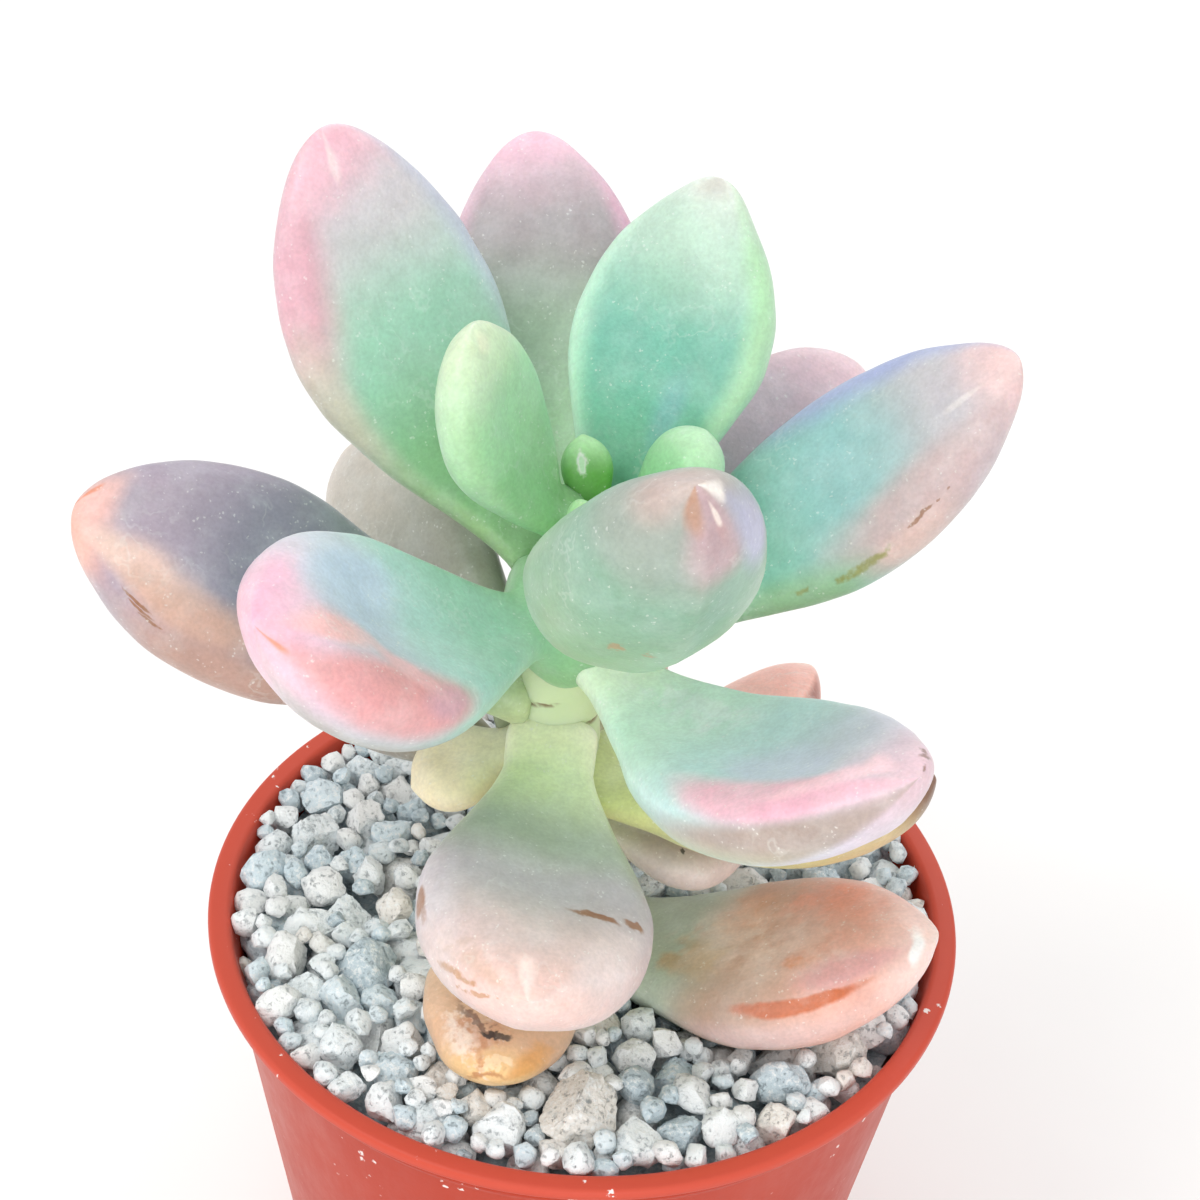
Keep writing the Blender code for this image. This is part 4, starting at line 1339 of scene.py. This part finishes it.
def middle_leaves() -> list[FleshyLeaf]:
    """Return the broad leaves at the left, in front and at the right, and the one that hangs down."""
    return [
        FleshyLeaf("leaf_left", Growth(23.4, 186, 25, 4, 39, 18, 9, 0, 32, 0.33, 0.35), LeafFinish(
            ((0.0, tone(204, 218, 170)), (0.10, tone(176, 196, 156)), (0.30, tone(144, 154, 160)),
             (0.65, tone(152, 152, 166)), (0.88, tone(178, 164, 178)), (1.0, tone(236, 190, 178))),
            (Wash(tone(230, 200, 186), (0.86, -0.45, 0.9), (0.18, 0.42, 0.9), 0.95, 0.3),
             Wash(tone(216, 180, 162), (0.72, -0.6, 0.7), (0.22, 0.38, 0.9), 0.9, 0.3),
             Wash(tone(190, 152, 136), (0.6, -0.95, 0.2), (0.36, 0.36, 1.2), 0.9, 0.35),
             Wash(tone(174, 162, 180), (0.8, 0.9, 0.4), (0.3, 0.6, 1.2), 0.7),
             Wash(tone(242, 196, 188), (0.975, 0.1, 0.7), (0.07, 1.2, 1.2), 0.9),
             Wash(ORANGE, (0.982, 0.62, 0.7), (0.016, 0.22, 0.3), 0.8, 0.3, 0.03),
             Wash(OLIVE, (0.40, -0.97, -0.1), (0.06, 0.12, 0.3), 0.6, 0.2, 0.05, 900.0),
             mark(SCAR, (0.845, -0.795, 0.60), (0.050, 0.022, 0.12)),
             mark(SCAR, (0.825, -0.835, 0.55), (0.042, 0.020, 0.12)),
             mark(SCAR, (0.800, -0.865, 0.50), (0.030, 0.020, 0.12)))), Flesh(flare=0.3)),
        FleshyLeaf(
            "leaf_left_behind", Growth(21.6, 126, 7, -10, 35, 13.6, 8.1, -3, 60, 0.2, 0.02), LeafFinish(
            ((0.0, tone(160, 170, 140)), (0.5, tone(168, 168, 156)), (0.8, tone(198, 192, 182)),
             (1.0, tone(216, 206, 196)))), Flesh(flare=2.5)),
        FleshyLeaf(
            "leaf_front_left", Growth(32, -136, 12, 24, 31.4, 18.6, 9.4, -2, 20, 0.28, 0.05), LeafFinish(
            ((0.0, tone(146, 196, 142)), (0.3, tone(168, 216, 194)), (0.5, tone(184, 222, 214)),
             (0.72, tone(206, 214, 226)), (1.0, tone(242, 194, 210))),
            (Wash(tone(204, 220, 238), (0.70, 0.25, 0.95), (0.24, 0.45, 1.4), 0.9, 0.3),
             Wash(tone(228, 168, 170), (0.75, -0.80, 0.50), (0.31, 0.84, 0.82), 1.0, 0.55),
             Wash(tone(182, 184, 178), (0.62, -0.88, -0.78), (0.5, 0.6, 0.95), 0.95, 0.35),
             Wash(tone(236, 184, 206), (0.975, 0.4, 0.8), (0.12, 0.6, 1.0), 0.85, 0.3),
             Wash(tone(214, 176, 192), (0.60, -0.80, 0.6), (0.10, 0.3, 0.7), 0.7, 0.3),
             # Painted highlights: pinkish-white streaks along the ridge where the hollow top face meets the
             # pink flank.
             Wash(tone(250, 196, 194), (0.85, -0.12, 1.0), (0.15, 0.20, 0.6), 0.9, 0.25),
             Wash(tone(246, 200, 204), (0.68, -0.44, 0.88), (0.12, 0.24, 0.9), 0.75, 0.25, slant=3.8),
             Wash(ORANGE, (0.986, -0.84, 0.50), (0.024, 0.20, 0.45), 0.85, 0.2, 0.03)), depth=0.95),
            Flesh(groove=0.55, breadth=0.6, keel=0.02, square=3.3, nib=0.12, hollow_end=1.0, flare=1.5)),
        FleshyLeaf(
            "leaf_front_right", Growth(29.8, -56, -8.5, 53, 38.5, 17.6, 7.9, 15, -5, 0.3, 0.58), LeafFinish(
            ((0.0, tone(226, 242, 210)), (0.3, tone(206, 236, 218)), (0.55, tone(196, 224, 222)),
             (0.8, tone(204, 206, 218)), (1.0, tone(222, 190, 200))),
            (Wash(tone(206, 210, 230), (0.68, 0.12, 1.0), (0.18, 0.32, 0.8), 0.8, 0.3),
             Wash(tone(240, 190, 206), (0.78, 0.66, 0.75), (0.31, 0.50, 1.0), 1.0, 0.5),
             Wash(tone(172, 154, 144), (0.78, 1.0, -0.12), (0.34, 0.34, 0.62), 0.95, 0.4),
             Wash(tone(202, 212, 180), (0.55, 0.98, -0.5), (0.36, 0.4, 0.6), 0.7),
             # Painted highlights: a pale pink band along the ridge, brightest near the tip.
             Wash(tone(250, 208, 218), (0.86, 0.36, 0.92), (0.15, 0.28, 0.8), 0.9, 0.3, slant=-2.6),
             Wash(tone(250, 212, 220), (0.945, 0.06, 1.0), (0.05, 0.22, 0.6), 0.7, 0.3),
             Wash(tone(232, 240, 240), (0.34, -0.2, 1.0), (0.16, 0.3, 0.5), 0.5, 0.2, 0.12, 500.0),
             Wash(tone(128, 92, 76), (0.992, -0.8, 0.4), (0.024, 0.5, 0.7), 0.8, 0.3, 0.04, 700.0)),
            depth=1.0),
            Flesh(groove=0.5, breadth=0.6, square=2.9, hollow_end=0.98)),
        FleshyLeaf("leaf_hanging", Growth(20.6, -92, -22, 45, 30.4, 18.6, 9.8, 4, 13, 0.36, 0.37), LeafFinish(
            # The neck's stops are partly its own pale yellow-green, partly painted light that offsets the
            # shade round the stem.
            ((0.0, tone(244, 250, 210)), (0.16, tone(226, 240, 198)), (0.38, tone(176, 188, 170)),
             (0.6, tone(190, 184, 188)), (0.85, tone(216, 196, 192)), (1.0, tone(232, 200, 192))),
            (Wash(tone(212, 204, 208), (0.66, 0.9, 0.4), (0.22, 0.4, 1.0), 0.8, 0.3),
             Wash(tone(232, 216, 214), (0.86, -0.7, 0.6), (0.18, 0.5, 1.0), 0.8, 0.3),
             # Painted highlight: pale glow on top near the end.
             Wash(tone(250, 232, 226), (0.955, 0.12, 0.99), (0.06, 0.2, 0.6), 0.75, 0.2),
             Wash(tone(196, 168, 148), (0.93, 0.85, 0.3), (0.09, 0.3, 0.7), 0.5, 0.2, 0.08, 600.0),
             mark(SCAR, (0.700, -0.36, 0.92), (0.020, 0.30, 0.35), 0.9, 0.012),
             mark(SCAR, (0.672, -0.72, 0.70), (0.018, 0.16, 0.3), 0.85, 0.012),
             mark(SCAR, (0.700, 0.985, 0.12), (0.075, 0.05, 0.2), 0.85),
             mark(TAN, (0.905, 0.99, -0.16), (0.06, 0.04, 0.14), 0.75, 0.04),
             mark(TAN, (0.958, 0.90, -0.42), (0.03, 0.08, 0.16), 0.7, 0.04)), depth=1.0),
            Flesh(groove=0.24, square=2.6, nib=0.2)),
    ]


def low_leaves() -> list[FleshyLeaf]:
    """Return the lowest and the dried leaves, which lie over the pumice."""
    return [
        FleshyLeaf("leaf_low_right", Growth(-1.2, -30, 7, 29, 33.4, 18.7, 8.7, 17, 0, 0.53, 0.75), LeafFinish(
            ((0.0, tone(184, 200, 174)), (0.34, tone(196, 208, 192)), (0.55, tone(200, 166, 148)),
             (0.85, tone(232, 182, 168)), (1.0, tone(246, 214, 206))),
            (Wash(tone(210, 176, 134), (0.42, 0.36, 0.92), (0.12, 0.42, 0.7), 0.75, 0.3, 0.08, 320.0),
             Wash(tone(214, 168, 138), (0.50, -0.20, 0.97), (0.14, 0.4, 0.7), 0.7, 0.2, 0.10, 320.0),
             Wash(tone(234, 158, 132), (0.76, -0.42, 0.92), (0.20, 0.46, 0.8), 0.85, 0.35, 0.06, 260.0),
             Wash(tone(222, 154, 122), (0.72, 0.42, 0.90), (0.07, 0.16, 0.5), 0.75, 0.3, 0.07, 420.0),
             Wash(tone(226, 178, 178), (0.84, 0.62, 0.75), (0.15, 0.34, 0.9), 0.9, 0.35),
             Wash(tone(224, 196, 192), (0.62, 1.0, -0.15), (0.34, 0.24, 0.5), 0.85),
             Wash(tone(204, 120, 86), (0.72, 0.90, 0.44), (0.19, 0.11, 0.28), 0.95, 0.6, 0.03, 420.0),
             Wash(tone(240, 228, 218), (0.46, 0.10, 0.98), (0.2, 0.7, 0.7), 0.42, 0.1, 0.16, 420.0),
             Wash(tone(240, 222, 214), (0.66, 0.25, 0.9), (0.2, 0.6, 0.8), 0.34, 0.1, 0.16, 560.0),
             # Painted highlight: near-white at the tip.
             Wash(tone(255, 253, 252), (0.988, 0.6, 0.7), (0.022, 0.9, 1.0), 0.95, 0.4)), depth=1.0),
            Flesh(groove=0.16, square=2.4, nib=0.55)),
        FleshyLeaf(
            "leaf_withered_front", Growth(3.8, -104, -5, -2, 20.2, 12.7, 6, 16, 6, 0.45, 0.14), LeafFinish(
            ((0.0, tone(222, 210, 178)), (0.5, tone(218, 188, 160)), (0.85, tone(222, 184, 154)),
             (1.0, tone(242, 204, 152))),
            (Wash(tone(198, 138, 106), (0.82, 0.30, 0.9), (0.13, 0.6, 0.9), 0.7, 0.15, 0.12, 620.0),
             Wash(tone(248, 230, 216), (0.88, 0.50, 0.8), (0.11, 0.6, 0.9), 0.8, 0.1, 0.14, 760.0),
             Wash(tone(224, 166, 104), (0.93, -0.75, 0.6), (0.12, 0.5, 1.0), 0.75, 0.3, 0.05, 400.0),
             mark(tone(112, 78, 64), (0.78, 0.24, 0.95), (0.085, 0.12, 0.5), 0.7, 0.05, -3.6),
             mark(tone(56, 46, 44), (0.838, 0.02, 1.0), (0.020, 0.22, 0.4), 0.85, 0.03),
             mark(tone(182, 118, 74), (0.985, 0.2, 0.3), (0.016, 1.2, 1.2), 0.7),
             # Painted highlight: a pale line along the rim near the tip.
             mark(tone(252, 228, 196), (0.955, 0.0, 0.95), (0.018, 0.5, 0.6), 0.6, 0.03)),
            bloom=0.05, specks=0.2, gloss=0.5, depth=0.95),
            Flesh(groove=0.45, ripple=0.5, square=2.6, nib=0.0),
            Slot.WITHERED),
        FleshyLeaf("leaf_withered_left", Growth(18.5, 198, -22, 0, 9.5, 9, 4.5, 0, 0, 0.4, 0.2), LeafFinish(
            ((0.0, tone(240, 240, 208)), (1.0, tone(244, 230, 196))), bloom=0.08, gloss=0.6, depth=1.0),
            Flesh(ripple=0.3), Slot.WITHERED),
        FleshyLeaf(
            "leaf_under_right", Growth(16.2, -21, -8, 42, 29.8, 15.4, 7, 16, 15, 0.57, 0.42), LeafFinish(
            ((0.0, tone(216, 224, 164)), (0.5, tone(206, 208, 150)), (0.85, tone(204, 180, 132)),
             (1.0, tone(122, 82, 62))), bloom=0.08, depth=1.0)),
        FleshyLeaf("leaf_red_behind", Growth(6, 42, -12, 34, 30, 12.2, 7.9, 10, 19, 0.45, 0.57), LeafFinish(
            ((0.0, tone(210, 190, 150)), (0.5, tone(246, 202, 186)), (1.0, tone(254, 200, 188))),
            (Wash(tone(140, 84, 74), (0.86, 1.0, 0.1), (0.2, 0.22, 0.7), 0.8),), bloom=0.12, depth=1.0)),
        FleshyLeaf("leaf_short_right", Growth(10.5, -9, -8, 0, 13.5, 10, 5, 0, 0, 0.4, 0.3), LeafFinish(
            ((0.0, tone(206, 210, 184)), (0.5, tone(196, 184, 178)), (1.0, tone(226, 208, 204))),
            (mark(tone(52, 44, 40), (0.62, 0.55, 0.83), (0.02, 0.09, 0.12), 0.9, 0.03),), depth=1.0)),
    ]


def back_leaves() -> list[FleshyLeaf]:
    """Return the leaves that close the spiral behind the stem."""
    return [
        FleshyLeaf("leaf_back", Growth(25, 88, 2, 22, 26, 13, 7.5, 0, 0, 0.2, 0.4), LeafFinish(
            ((0.0, tone(160, 196, 150)), (0.5, tone(170, 192, 176)), (1.0, tone(228, 198, 206))),
            (Wash(tone(214, 186, 196), (0.75, 0.9, 0.2), (0.3, 0.5, 1.2), 0.7),))),
        FleshyLeaf("leaf_low_left", Growth(13, 152, 5, 8, 23, 11, 6, 0, 0, 0.3, 0.4), LeafFinish(
            ((0.0, tone(170, 170, 130)), (0.5, tone(160, 150, 140)), (1.0, tone(140, 110, 104))),
            (Wash(tone(120, 90, 84), (0.9, 1.0, 0.1), (0.2, 0.4, 0.8), 0.6),))),
        FleshyLeaf("leaf_low_back", Growth(14, 80, -15, 12, 24, 13, 7, 0, 0, 0.3, 0.4), LeafFinish(
            ((0.0, tone(186, 192, 146)), (0.5, tone(196, 186, 166)), (1.0, tone(226, 190, 176))),
            (Wash(tone(214, 160, 130), (0.7, -0.7, 0.7), (0.2, 0.4, 0.8), 0.6, 0.2, 0.08, 320.0),))),
    ]


def leaf_set() -> list[FleshyLeaf]:
    """Return every leaf with its growth, its finish and its flesh."""
    return [*upper_leaves(), *crown_leaves(), *middle_leaves(), *low_leaves(), *back_leaves()]


LOW_LEAVES = ("leaf_low_right", "leaf_withered_front", "leaf_hanging", "leaf_short_right", "leaf_red_behind",
              "leaf_withered_left")


def main() -> None:
    """Build the plant, its pot and the studio."""
    logging.basicConfig(level=logging.INFO, format="%(message)s")
    pot_low, pot_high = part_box("pot")
    stem = StemLine(rim=pot_high[2])
    pot = NurseryPot(height=pot_high[2], lip_radius=pot_high[0])
    pot.build()
    BareStem(stem).build()
    leaves = {leaf.node: leaf.build(stem) for leaf in leaf_set()}
    low = [leaves[name] for name in LOW_LEAVES]
    bed_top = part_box("pumice_bed")[1][2] - GRAINS_IN_BED
    PumiceDressing(bed_top, pot.mouth() - GRAINS_TO_WALL, pot.height, stem, low).build()
    # The bed gets painted shade, 0.35 of the crevice shade, for the gaps between grains.
    for node, material in (("pumice_bed", PumiceFinish().material("pumice_bed", 0.35)),
                           ("potting_mix", SoilFinish().material("potting_mix"))):
        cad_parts[node].data.materials.clear()
        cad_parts[node].data.materials.append(material)
    Studio().build()


if __name__ == "__main__":
    main()
